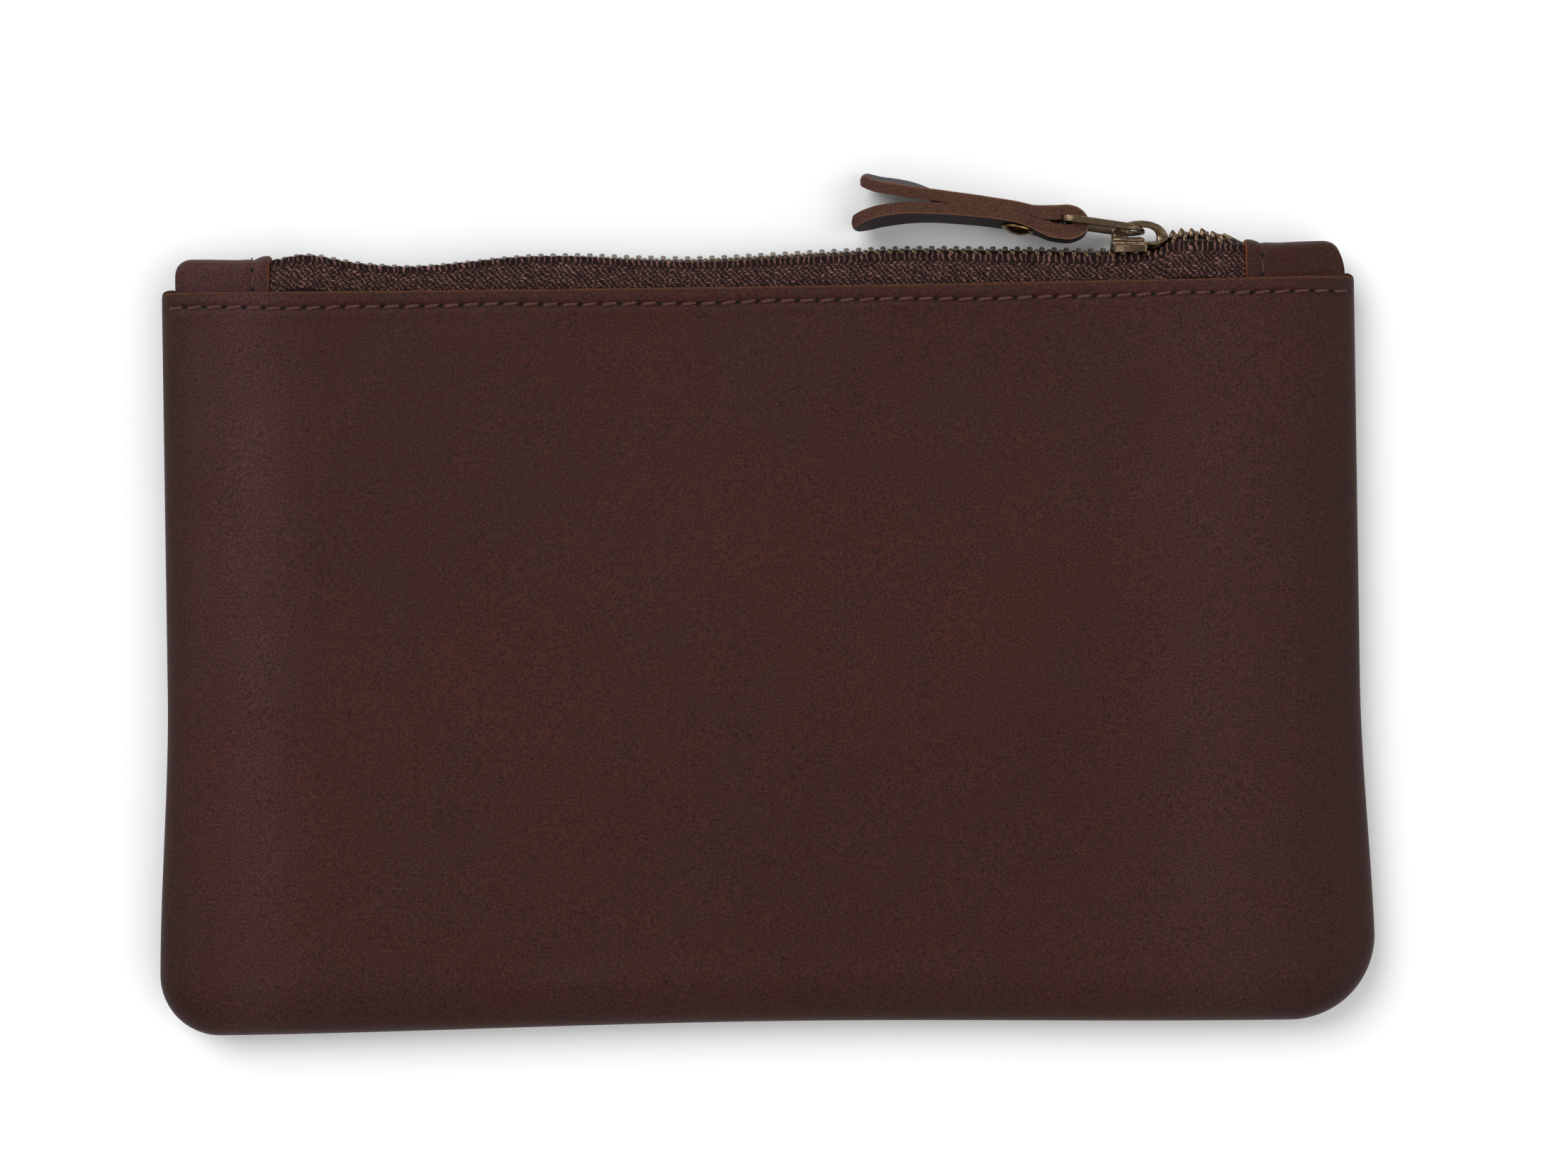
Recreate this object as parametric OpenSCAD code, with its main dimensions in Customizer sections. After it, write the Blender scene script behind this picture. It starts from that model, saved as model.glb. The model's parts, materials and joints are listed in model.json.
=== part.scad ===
// Flat zippered leather pouch, lying on its back panel.
// X runs along the zip, Y from the bottom seam to the zip, Z out of the front panel.
// The origin is the centre of the back panel's resting face.

/* [Leather body] */
// Width of the pouch at its top and middle
body_w = 236.6; // [225:0.2:250]
// Height from the bottom seam to the cut top edge of the leather
body_h = 148; // [140:1:160]
// Thickness of the panel leather
leather_t = 1.6; // [1.4:0.1:1.8]
// Half the thickness of the pouch at the zip
half_t = 5.9; // [5.8:0.1:6.4]
// Extra height of the front panel at its middle
crown_h = 1.5; // [0:0.1:3]
// How far the bottom corners flare out past the sides
flare = 2.3; // [0:0.1:3]
// How far the bottom edge pulls in at its middle
bottom_sag = 1.2; // [0:0.1:2]
// Radius of the bottom left corner
corner_r_left = 12; // [10:1:18]
// Radius of the bottom right corner
corner_r_right = 17; // [10:1:18]
// Width of the rolled edge along the seams
roll_w = 12; // [10:1:14]
// Width of the seam allowance that is turned inside
allowance_w = 6; // [4:0.5:7]

/* [Zip] */
// Height of the chain's centre above the cut top edge
chain_rise = 5; // [4.5:0.1:6]
// Forward lean of the chain and the slider, in degrees
chain_tilt = 6; // [0:1:8]
// Distance between teeth on one tape
tooth_pitch = 2.43; // [2.4:0.01:2.6]
// Thickness of the zip tape
tape_t = 0.5; // [0.4:0.05:0.5]
// How far the tape reaches down behind the leather
tape_tuck = 8.5; // [7:0.5:10]
// Distance from the middle to the inner edge of each end tab
tab_x = 96.5; // [94:0.5:98]
// Length of each end tab along the zip
tab_len = 18.7; // [16:0.1:18.7]

/* [Slider] */
// Rear end of the slider along X
slider_x = 69.4; // [20:0.2:69.4]
// Length of the slider
slider_len = 11.8; // [11:0.1:12]

/* [Pull] */
// Thickness of the pull strap's leather
strap_t = 1.9; // [1.7:0.05:1.9]
// Width of the pull strap
strap_w = 9.6; // [9:0.1:9.8]
// Backward lean of the link and the strap, in degrees
pull_lean = 6; // [0:1:6]
// Radius of the link's wire
wire_r = 0.65; // [0.5:0.05:0.65]

/* [Hidden] */

panel_gap = 0.15;            // half the gap between the two panels along the seam
mid_z = half_t;              // height of the seam and of the chain
lip_y = body_h / 2;          // cut top edge of the leather
chain_y = lip_y + chain_rise;
tooth_reach = 2.8;           // from the chain's centre line to the back of a tooth
tooth_half_h = 1.25;         // half the thickness of a tooth's jaws
tape_end_z = 1.5;            // from the chain's centre to a tape's middle inside an end tab
thread_r = 0.32;
stitch_pitch = 3.9;
stitch_len = 2.9;
topstitch_drop = 3;          // from the cut edge down to the stitch line
seam_inset = 3.6;            // from the outline to the hidden seam
rivet_back = 19.1;           // from the slider's rear end back to the rivet
facet = 32;

leather_brown = [0.24, 0.15, 0.13];
edge_brown = [0.38, 0.25, 0.18];
tape_brown = [0.17, 0.11, 0.11];
thread_brown = [0.40, 0.28, 0.25];
old_brass = [0.45, 0.38, 0.25];

function clamp01(t) = min(max(t, 0), 1);
function smooth(t) = let (c = clamp01(t)) c * c * (3 - 2 * c);
function mix(a, b, t) = a + (b - a) * t;

// ---- the pouch's outline, drawn in from its edge by "inset" ----

function half_width(y, inset) = body_w / 2 + flare * (1 - smooth((y + 66) / 60)) - inset;
function bottom_y(x, inset) = -body_h / 2 + inset
    + bottom_sag * (1 - pow(clamp01(abs(x) / (body_w / 2 - 12)), 4));
function corner_r(side, inset) = max((side < 0 ? corner_r_left : corner_r_right) - inset, 2);

// A point of the left (-1) or right (1) edge: t runs from the middle of the corner to the top
function side_point(side, t, inset) =
    let (r = corner_r(side, inset),
         arc = r * PI / 4,
         bottom = -body_h / 2 + inset,
         share = arc / (arc + lip_y - bottom - r))
    t < share
    ? let (a = 45 * t / share - 45)
      [side * (half_width(bottom + r, inset) - r + r * cos(a)), bottom + r + r * sin(a)]
    : let (y = mix(bottom + r, lip_y, (t - share) / (1 - share)))
      [side * half_width(y, inset), y];

// A point of the bottom edge: t runs from the middle of the left corner to the middle of the right
function bottom_point(t, inset) =
    let (rl = corner_r(-1, inset), rr = corner_r(1, inset),
         bottom = -body_h / 2 + inset,
         x0 = -half_width(bottom, inset) + rl, x1 = half_width(bottom, inset) - rr,
         al = rl * PI / 4, ar = rr * PI / 4, total = al + ar + x1 - x0, s = t * total)
    s < al
    ? let (a = 225 + 45 * s / al) [x0 + rl * cos(a), bottom + rl + rl * sin(a)]
    : s > total - ar
    ? let (a = 315 - 45 * (total - s) / ar) [x1 + rr * cos(a), bottom + rr + rr * sin(a)]
    : let (x = x0 + s - al) [x, bottom_y(x, inset)];

// The outline's inside, filled between its four edges; s and v run from 0 to 1
function fill_point(s, v, inset) =
    let (l = side_point(-1, v, inset), r = side_point(1, v, inset), b = bottom_point(s, inset),
         t = mix(side_point(-1, 1, inset), side_point(1, 1, inset), s),
         p00 = bottom_point(0, inset), p10 = bottom_point(1, inset),
         p01 = side_point(-1, 1, inset), p11 = side_point(1, 1, inset))
    (1 - s) * l + s * r + (1 - v) * b + v * t
    - ((1 - s) * (1 - v) * p00 + s * (1 - v) * p10 + (1 - s) * v * p01 + s * v * p11);

// ---- the panel's surface ----

roll_steps = 6;
flat_cols = 10;
flat_rows = 9;
roll_share = [for (k = [0 : roll_steps]) 1 - cos(90 * k / roll_steps)];
cols = concat([for (r = roll_share) r * roll_w / body_w],
              [for (k = [1 : flat_cols - 1]) mix(roll_w / body_w, 1 - roll_w / body_w, k / flat_cols)],
              [for (k = [roll_steps : -1 : 0]) 1 - roll_share[k] * roll_w / body_w]);
rows = concat([for (r = roll_share) r * roll_w / body_h],
              [for (k = [1 : flat_rows]) mix(roll_w / body_h, 1, k / flat_rows)]);
n_cols = len(cols);
n_rows = len(rows);

function roll(d) = sqrt(1 - pow(1 - clamp01(d / roll_w), 2));
function panel_roll(s, v) = roll(min(s, 1 - s) * body_w) * roll(v * body_h);
function crown(s, v) = 4 * s * (1 - s) * pow(sin(180 * v), 1.5);
function outer_z(s, v, top) = panel_gap + (half_t - panel_gap) * panel_roll(s, v) + top * crown(s, v);
function inner_z(s, v, top) = panel_gap + leather_t
    + (half_t - panel_gap - 2 * leather_t) * panel_roll(s, v) + top * crown(s, v);

// The seam allowance narrows towards the top, to leave room for the end tabs
function allowance(v) = mix(allowance_w, leather_t + 0.3, smooth((v - 0.8) / 0.12));

// The seam edge runs down the left side, along the bottom and up the right side
edge_cells = concat([for (j = [n_rows - 1 : -1 : 1]) [0, j]],
                    [for (i = [0 : n_cols - 1]) [i, 0]],
                    [for (j = [1 : n_rows - 1]) [n_cols - 1, j]]);
n_edge = len(edge_cells);
function edge_point(c, inset, z) = let (p = fill_point(cols[c[0]], rows[c[1]], inset)) [p[0], p[1], z];

// A quad as two triangles, split along its first and third corners
function quad(a, b, c, d) = [[a, b, c], [a, c, d]];

// One leather panel above the seam plane, with its rolled edge and its turned-in allowance
module panel(top) {
    grid = n_cols * n_rows;
    outer = [for (v = rows) for (s = cols) let (p = fill_point(s, v, 0)) [p[0], p[1], outer_z(s, v, top)]];
    inner = [for (v = rows) for (s = cols) let (p = fill_point(s, v, leather_t))
             [p[0], p[1], inner_z(s, v, top)]];
    flange_low = [for (c = edge_cells) edge_point(c, allowance(rows[c[1]]), panel_gap)];
    flange_high = [for (c = edge_cells) edge_point(c, allowance(rows[c[1]]), panel_gap + leather_t)];
    low = 2 * grid;
    high = low + n_edge;
    function cell(c) = c[1] * n_cols + c[0];
    last = n_edge - 1;
    top_row = (n_rows - 1) * n_cols;
    faces = concat(
        [for (j = [0 : n_rows - 2]) for (i = [0 : n_cols - 2]) let (a = j * n_cols + i)
            each quad(a, a + n_cols, a + n_cols + 1, a + 1)],
        [for (j = [0 : n_rows - 2]) for (i = [0 : n_cols - 2]) let (a = grid + j * n_cols + i)
            each quad(a, a + 1, a + n_cols + 1, a + n_cols)],
        [for (i = [0 : n_cols - 2]) let (a = top_row + i)
            each quad(a, grid + a, grid + a + 1, a + 1)],
        [for (k = [0 : last - 1]) let (a = cell(edge_cells[k]), b = cell(edge_cells[k + 1]))
            each concat(quad(a, b, low + k + 1, low + k),
                        quad(low + k, low + k + 1, high + k + 1, high + k),
                        quad(high + k, high + k + 1, grid + b, grid + a))],
        quad(top_row, low, high, grid + top_row),
        quad(top_row + n_cols - 1, grid + top_row + n_cols - 1, high + last, low + last));
    translate([0, 0, mid_z])
        polyhedron(points = concat(outer, inner, flange_low, flange_high), faces = faces, convexity = 6);
}

module front_panel() { color(leather_brown) panel(crown_h); }
module back_panel() {
    color(leather_brown)
        translate([0, 0, 2 * mid_z]) mirror([0, 0, 1]) panel(0);
}

// ---- thread ----

// A straight run of thread between two points
module thread(from, to) {
    run = to - from;
    flat = norm([run[0], run[1]]);
    translate(from)
        rotate([0, atan2(flat, run[2]), atan2(run[1], run[0])])
            cylinder(h = norm(run), r = thread_r, $fn = facet);
}

// A row of stitches on the front face along its cut edge; sunk is how deep the thread's centre lies
module topstitch(top, sunk) {
    reach = body_w / 2 - 4;
    count = floor(2 * reach / stitch_pitch);
    v = 1 - topstitch_drop / body_h;
    for (k = [0 : count - 1]) {
        x0 = (k - count / 2) * stitch_pitch + (stitch_pitch - stitch_len) / 2;
        x1 = x0 + stitch_len;
        ends = [for (x = [x0, x1])
                [x, lip_y - topstitch_drop, mid_z + outer_z(x / body_w + 0.5, v, top) - sunk]];
        thread(ends[0], ends[1]);
    }
}

module front_topstitch() { color(thread_brown) topstitch(crown_h, 0.1); }
module back_topstitch() {
    color(thread_brown) translate([0, 0, 2 * mid_z]) mirror([0, 0, 1]) topstitch(0, thread_r + 0.02);
}

// The hidden seam's thread, on the face of the allowance that looks into the pouch
module seam_thread() {
    z = mid_z + panel_gap + leather_t + thread_r - 0.05;
    side_count = 30;
    bottom_count = 54;
    share = stitch_len / stitch_pitch;
    top = 0.78;
    for (side = [-1, 1]) for (k = [0 : side_count - 1]) {
        p = side_point(side, top * k / side_count, seam_inset);
        q = side_point(side, top * (k + share) / side_count, seam_inset);
        thread([p[0], p[1], z], [q[0], q[1], z]);
    }
    for (k = [0 : bottom_count - 1]) {
        p = bottom_point((k + 0.1) / bottom_count, seam_inset);
        q = bottom_point((k + 0.1 + share) / bottom_count, seam_inset);
        thread([p[0], p[1], z], [q[0], q[1], z]);
    }
}

module seam_needle_thread() { color(thread_brown) seam_thread(); }
module seam_bobbin_thread() {
    color(thread_brown) translate([0, 0, 2 * mid_z]) mirror([0, 0, 1]) seam_thread();
}

// ---- zip tape and chain; side is 1 for the front tape and -1 for the back tape ----

// A flat band of thickness t along a path of plane points
function unit(v) = v / norm(v);
function path_normal(path, k) =
    let (a = unit(path[min(k + 1, len(path) - 1)] - path[min(k, len(path) - 2)]),
         b = unit(path[max(k, 1)] - path[max(k - 1, 0)]),
         m = unit(a + b), scale = 1 / max(m * a, 0.5))
    [-m[1], m[0]] * scale;
function ribbon(path, t) = concat(
    [for (k = [0 : len(path) - 1]) path[k] + path_normal(path, k) * t / 2],
    [for (k = [len(path) - 1 : -1 : 0]) path[k] - path_normal(path, k) * t / 2]);

// The chain's own frame: local Y is out of the mouth, local Z towards the front panel
module chain_frame() { translate([0, chain_y, mid_z]) rotate([chain_tilt, 0, 0]) children(); }

// How far a row of teeth has moved from the closed position, at x: the slider parts the rows
part_gap = 1.9;
function parted(x) = part_gap * smooth((x - slider_x - 5.1) / 4.5)
    * (1 - 0.45 * smooth((x - slider_x - slider_len) / 12));

// The tape's cross-section in Y and Z: out of the teeth, over the bend and down behind the leather
function tape_path(side, run_z) =
    let (c = cos(chain_tilt), s = sin(chain_tilt),
         start = [for (a = [1.5, 2.8]) [chain_y - side * a * s, mid_z + side * a * c]],
         shoulder = start[1][0])
    [start[0], start[1],
     [shoulder - 0.1, mid_z + side * (run_z - 0.6)],
     [shoulder - 0.45, mid_z + side * (run_z - 0.15)],
     [shoulder - 1.1, mid_z + side * run_z],
     [lip_y - tape_tuck, mid_z + side * run_z]];

// The tape's cross-section inside an end tab, past the last tooth
function tape_end_path(side) =
    [for (y = [chain_y - 2.1, lip_y - tape_tuck]) [y, mid_z + side * tape_end_z]];

module tape_run(path, x0, x1) {
    translate([x0, 0, 0]) rotate([90, 0, 90])
        linear_extrude(height = x1 - x0) polygon(ribbon(path, tape_t));
}

module tape(side) {
    open_z = half_t - leather_t - tape_t / 2;
    edge = tab_x - 0.45;
    ends = tab_x + 5.5;
    color(tape_brown) union() {
        tape_run(tape_path(side, open_z), -edge, edge);
        for (x = [-ends, edge - 0.1]) tape_run(tape_end_path(side), x, x + ends - edge + 0.1);
        for (x = [-edge, edge - 1]) translate([x, lip_y - tape_tuck, mid_z - (side < 0 ? open_z : 0)])
            translate([0, 0, side > 0 ? tape_end_z - tape_t / 2 : 0])
                cube([1, tape_tuck + 2, open_z - tape_end_z + tape_t / 2]);
    }
}
module front_tape() { tape(1); }
module back_tape() { tape(-1); }

// One tooth: a head that meshes past the centre line and two jaws that clamp the tape's edge
module tooth(side) {
    head_half = 0.55;
    jaw_half = 0.6;
    difference() {
        union() {
            translate([-head_half, -0.85, side > 0 ? -0.7 : -1.3]) cube([2 * head_half, 1.7, 2]);
            translate([-jaw_half, -tooth_half_h, side > 0 ? 1 : -tooth_reach])
                cube([2 * jaw_half, 2 * tooth_half_h, tooth_reach - 1]);
        }
        translate([-2, -tape_t / 2, side > 0 ? 1.6 : -4.6]) cube([4, tape_t, 3]);
    }
}

teeth_x0 = 1.2 - tab_x;
teeth_count = floor((2 * tab_x - 5.5) / tooth_pitch);
module teeth(side) {
    color(old_brass) chain_frame()
        for (k = [0 : teeth_count - 1]) {
            x = teeth_x0 + (k + (side > 0 ? 0 : 0.5)) * tooth_pitch;
            translate([x, 0, side * parted(x)]) tooth(side);
        }
}
module front_teeth() { teeth(1); }
module back_teeth() { teeth(-1); }

// A clamp at the closing end of one row of teeth
module top_stop(side) {
    stop_len = 2.4;
    x = tab_x - stop_len - 0.6;
    reach = side * (1.3 + parted(x));
    color(old_brass) chain_frame() difference() {
        translate([x, -1.15, min(reach, reach + side * 1.8)]) cube([stop_len, 2.3, 1.8]);
        translate([x - 1, -tape_t / 2, min(reach + side * 0.4, reach + side * 3)])
            cube([stop_len + 2, tape_t, 2.6]);
    }
}
module front_top_stop() { top_stop(1); }
module back_top_stop() { top_stop(-1); }

// The clamp that joins both tapes at the opening end, inside the left tab
module bottom_stop() {
    slot_t = tape_t + 0.2;
    color(old_brass) translate([0, chain_y, mid_z])
        difference() {
            translate([-tab_x - 3, -3.3, -2.2]) cube([2.4, 2.2, 4.4]);
            for (side = [-1, 1])
                translate([-tab_x - 4, -4.3, side * tape_end_z - slot_t / 2]) cube([5, 2.4, slot_t]);
        }
}

// ---- end tabs: leather bent over the zip's ends ----

tab_half = half_t - leather_t - 0.3;     // half thickness where the pouch is full
tab_end_half = tab_half - 1.05;          // half thickness under the rolled side edge
tab_top = chain_y + 1.5;
tab_low = lip_y - 12;

// One stop along the tab: its distance from the inner edge, half thickness and top
tab_stops = [[0, tab_half, tab_top], [9, tab_half, tab_top],
             [tab_len - 2.2, tab_end_half + 0.2, tab_top - 0.2],
             [tab_len - 0.8, tab_end_half + 0.1, tab_top - 0.8],
             [tab_len, tab_end_half, tab_top - 2]];
tab_wall = 1.15;

// The fold's cross-section in Y and Z: down one side, over the top and down the other
function fold(h, top) = concat([[tab_low, -h]],
    [for (a = [-90 : 15 : 90]) [top - 0.62 * h * (1 - cos(a)), h * sin(a)]],
    [[tab_low, h]]);
function fold_ring(stop) =
    let (outer = fold(stop[1], stop[2]), inner = fold(stop[1] - tab_wall, stop[2] - tab_wall))
    concat(outer, [for (k = [len(inner) - 1 : -1 : 0]) inner[k]]);

module end_tab(side) {
    ring = len(fold_ring(tab_stops[0]));
    last = (len(tab_stops) - 1) * ring;
    faces = concat(
        [for (s = [0 : len(tab_stops) - 2]) for (i = [0 : ring - 1])
            let (a = s * ring + i, b = s * ring + (i + 1) % ring)
            each quad(a, a + ring, b + ring, b)],
        [for (k = [0 : ring / 2 - 2])
            each concat(quad(k, k + 1, ring - 2 - k, ring - 1 - k),
                        quad(last + k, last + ring - 1 - k, last + ring - 2 - k, last + k + 1))]);
    color(leather_brown) mirror([side < 0 ? 1 : 0, 0, 0]) translate([tab_x, 0, mid_z])
        polyhedron(points = [for (e = tab_stops) for (p = fold_ring(e)) [e[0], p[0], p[1]]],
                   faces = faces, convexity = 4);
}
module left_end_tab() { end_tab(-1); }
module right_end_tab() { end_tab(1); }

module tab_stitches(side) {
    x = side * (tab_x + 3.3);
    color(thread_brown) for (face = [-1, 1]) for (y = [lip_y - 10, lip_y - 6, lip_y - 2, lip_y + 2]) {
        z = mid_z + face * (tab_half - 0.12);
        thread([x, y, z], [x, y + stitch_len - 0.4, z]);
    }
}
module left_tab_stitches() { tab_stitches(-1); }
module right_tab_stitches() { tab_stitches(1); }

// ---- slider, in the chain's frame ----

plate_gap = 1.45;            // from the chain's centre to the inside of each plate
top_plate = 2.35;            // from the chain's centre to the top of the upper plate
rear_half = 4.4;
nose_x = slider_x + slider_len;

// A plate seen from above: parallel at the rear, wider at the shoulders, blunt at the nose
function plate_outline(rear, shoulder, nose) =
    let (half = [[0, rear - 0.5], [0.5, rear], [6.2, rear], [8.2, shoulder], [9.6, shoulder - 0.3],
                 [11.2, nose + 0.5], [slider_len, nose - 0.6]])
    concat([for (p = half) [slider_x + p[0], -p[1]]],
           [for (k = [len(half) - 1 : -1 : 0]) [slider_x + half[k][0], half[k][1]]]);

// Extrudes a shape drawn in X and Z between two heights of local Y
module slab(y0, y1) {
    translate([0, y1, 0]) rotate([90, 0, 0]) linear_extrude(height = y1 - y0) children();
}

module slider_body() {
    flange_len = 6.5;
    flange_in = 3.35;
    color(old_brass) chain_frame() union() {
        slab(plate_gap, top_plate) polygon(plate_outline(rear_half, 4.7, 2.6));
        slab(-2.2, -plate_gap) polygon(plate_outline(3.3, 3.3, 2.4));
        for (side = [-1, 1])
            translate([slider_x, 0.4, side > 0 ? flange_in : -rear_half])
                cube([flange_len, plate_gap - 0.3, rear_half - flange_in]);
        slab(-2.0, top_plate - 0.1)
            polygon([[slider_x + 7.9, 0], [slider_x + 9.2, 0.9], [slider_x + 11.2, 0.55],
                     [slider_x + 11.2, -0.55], [slider_x + 9.2, -0.9]]);
    }
}

crown_mid = slider_x + 6;
crown_half = 1.2;
// Half an ellipse standing on the upper plate
function arch(rx, h, base) =
    [for (a = [0 : 10 : 180]) [crown_mid + rx * cos(a), base + h * sin(a)]];
module slider_crown() {
    color(old_brass) chain_frame() translate([0, 0, -crown_half]) linear_extrude(height = 2 * crown_half)
        polygon(concat(arch(5.6, 3.95, top_plate), [for (p = arch(4.1, 2.65, top_plate))
                [2 * crown_mid - p[0], p[1]]]));
}

// ---- pull: link, strap and rivet ----

link_pivot = [slider_x + 5.2, chain_y + 4];
strap_pivot = [slider_x - 9.3, chain_y + 6.3];
link_half = 3.45;
link_bend = 1.6;
module link_corner() {
    rotate_extrude(angle = 90, $fn = 64) translate([link_bend, 0]) circle(r = wire_r, $fn = facet);
}
module pull_link() {
    run = strap_pivot - link_pivot;
    len = norm(run);
    side_y = link_half - link_bend;
    color(old_brass)
        translate([link_pivot[0], link_pivot[1], mid_z])
            rotate([0, 0, atan2(run[1], run[0])]) rotate([90 + pull_lean, 0, 0]) {
                for (e = [-1, 1]) translate([link_bend, e * link_half, 0]) rotate([0, 90, 0])
                    cylinder(h = len - 2 * link_bend, r = wire_r, $fn = facet);
                for (x = [0, len]) translate([x, side_y, 0]) rotate([90, 0, 0])
                    cylinder(h = 2 * side_y, r = wire_r, $fn = facet);
                translate([len - link_bend, side_y, 0]) link_corner();
                translate([link_bend, side_y, 0]) rotate([0, 0, 90]) link_corner();
                translate([link_bend, -side_y, 0]) rotate([0, 0, 180]) link_corner();
                translate([len - link_bend, -side_y, 0]) rotate([0, 0, 270]) link_corner();
            }
}

// The strap's centre line seen from the front, relative to the centre of its loop:
// upper tail, upper half, loop, lower half, lower tail
loop = strap_pivot + [0.5, 0.1];
upper_half = [[-41, 9], [-34.8, 6.9], [-27.9, 5.3], [-21.1, 4.4], [-14.6, 3.65], [-9.2, 2.9], [-4.6, 2.4]];
lower_half = [[-4.2, -1.25], [-7, -0.05], [-9.6, 0.75], [-14.6, 1.65], [-21.1, 2.4], [-27.9, 2.95],
              [-33.7, 2.65], [-38.9, 1.8], [-42.5, 0.3]];
strap_line = concat([for (p = upper_half) loop + p],
                    [for (a = [90 : -15 : -90]) loop + [3.1 * cos(a), 2.5 * sin(a)]],
                    [for (p = lower_half) loop + p]);

// The strap leans back about the height of its loop
module strap_frame() {
    translate([0, loop[1], mid_z]) rotate([-pull_lean, 0, 0]) translate([0, -loop[1], 0]) children();
}

// The strap's width, seen from the zip's side: rounded tails and a narrow neck at the loop
function strap_plan() =
    let (h = strap_w / 2, tip = loop[0] - 43.6, neck = loop[0] - 3,
         half = [[tip, 1.6], [tip + 1, 3.2], [tip + 3, h - 0.5], [tip + 5, h], [neck - 7, h],
                 [neck - 4, h - 0.7], [neck, 2.4], [neck + 9, 2.4]])
    concat(half, [for (k = [len(half) - 1 : -1 : 0]) [half[k][0], -half[k][1]]]);

// Places a piece on the rivet's axis, which is square to the strap; local Z points up through it
module rivet_frame() {
    strap_frame() translate([slider_x - rivet_back, loop[1] + 2.05, 0]) rotate([-90, 0, -8]) children();
}

module pull_strap() {
    bore_r = 1.25;
    color(edge_brown) difference() {
        strap_frame() intersection() {
            translate([0, 0, -strap_w]) linear_extrude(height = 2 * strap_w)
                polygon(ribbon(strap_line, strap_t));
            translate([0, loop[1] + 20, 0]) rotate([90, 0, 0])
                linear_extrude(height = 40) polygon(strap_plan());
        }
        rivet_frame() translate([0, 0, -6]) cylinder(h = 12, r = bore_r, $fn = facet);
    }
}

rivet_half = strap_t + 0.1;              // from the strap's middle to the underside of each cap
// A shallow dome with a flat underside at z = 0
module rivet_dome() {
    dome_r = 3.2;
    dome_h = 0.9;
    ball = (dome_r * dome_r + dome_h * dome_h) / (2 * dome_h);
    intersection() {
        translate([0, 0, dome_h - ball]) sphere(r = ball, $fn = 96);
        cylinder(h = dome_h + 1, r = dome_r, $fn = 64);
    }
}
module rivet_post() {
    color(old_brass) rivet_frame() union() {
        translate([0, 0, -rivet_half + 1]) cylinder(h = 2 * rivet_half - 1, r = 1.15, $fn = facet);
        translate([0, 0, rivet_half]) rivet_dome();
    }
}
module rivet_cap() {
    color(old_brass) rivet_frame() mirror([0, 0, 1]) translate([0, 0, rivet_half]) rivet_dome();
}

back_panel();
back_tape();
back_teeth();
back_top_stop();
bottom_stop();
left_end_tab();
right_end_tab();
left_tab_stitches();
right_tab_stitches();
back_topstitch();
seam_bobbin_thread();
front_panel();
front_tape();
front_teeth();
front_top_stop();
front_topstitch();
seam_needle_thread();
slider_body();
slider_crown();
pull_link();
pull_strap();
rivet_cap();
rivet_post();
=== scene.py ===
import json
import math

import bmesh
import bpy
import numpy as np
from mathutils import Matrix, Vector


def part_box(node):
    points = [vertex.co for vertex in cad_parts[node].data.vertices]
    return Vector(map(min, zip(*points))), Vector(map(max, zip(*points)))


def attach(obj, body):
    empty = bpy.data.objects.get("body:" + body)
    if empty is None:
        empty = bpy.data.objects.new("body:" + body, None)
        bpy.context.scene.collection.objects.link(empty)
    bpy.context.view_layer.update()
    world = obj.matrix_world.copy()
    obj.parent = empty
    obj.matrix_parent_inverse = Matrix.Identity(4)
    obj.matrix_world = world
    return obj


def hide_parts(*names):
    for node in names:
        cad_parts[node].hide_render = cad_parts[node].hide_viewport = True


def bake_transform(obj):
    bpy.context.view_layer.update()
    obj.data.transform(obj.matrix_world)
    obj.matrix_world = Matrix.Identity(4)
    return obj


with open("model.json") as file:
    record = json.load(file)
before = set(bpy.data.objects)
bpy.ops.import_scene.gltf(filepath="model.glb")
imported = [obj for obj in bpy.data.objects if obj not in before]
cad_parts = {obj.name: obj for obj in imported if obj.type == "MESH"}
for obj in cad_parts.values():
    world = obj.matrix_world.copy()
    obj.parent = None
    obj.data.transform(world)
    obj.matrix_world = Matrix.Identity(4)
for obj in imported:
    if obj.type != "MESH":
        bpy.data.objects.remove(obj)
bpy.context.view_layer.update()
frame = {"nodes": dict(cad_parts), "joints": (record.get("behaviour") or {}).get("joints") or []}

RNG = np.random.default_rng(11)

# ---- measures, in millimetres, read from the frame ----

FRONT_LO, FRONT_HI = (np.array(c) * 1000 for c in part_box("front_panel"))
TAB_LO, TAB_HI = (np.array(c) * 1000 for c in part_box("right_end_tab"))
SLIDER_LO = np.array(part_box("slider_body")[0]) * 1000
JOINT = {j["name"]: j for j in frame["joints"]}

MID_Z = JOINT["mouth_opening"]["pos_m"][2] * 1000  # the seam's height
LIP = FRONT_HI[1]  # the leather's cut top edge
BOTTOM = FRONT_LO[1]
HEIGHT = LIP - BOTTOM
FLARE = 2.3  # the sides' spread towards the bottom
WIDTH = FRONT_HI[0] - FRONT_LO[0] - 2 * FLARE + 0.2
HALF = MID_Z  # half the pouch's thickness
LEATHER = 1.6  # thickness of the panels
GAP = 0.15  # from each allowance to the seam's plane
CROWN = 1.5  # the front panel's swell
BOTTOM_RISE = 1.2  # of the bottom edge in the middle
CORNER = {-1: 12.0, 1: 17.0}  # radius of the left and right bottom corners
ROLL = 12.0  # reach of the rolled edges
TAB_X = TAB_LO[0]  # inner edge of each end tab
CHAIN_Y = LIP + 5.0
SLIDER_X = SLIDER_LO[0]
TILT = math.radians(6)
PITCH = 2.43  # of the teeth on one tape
STITCH = 3.9  # pitch of the stitches
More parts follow.
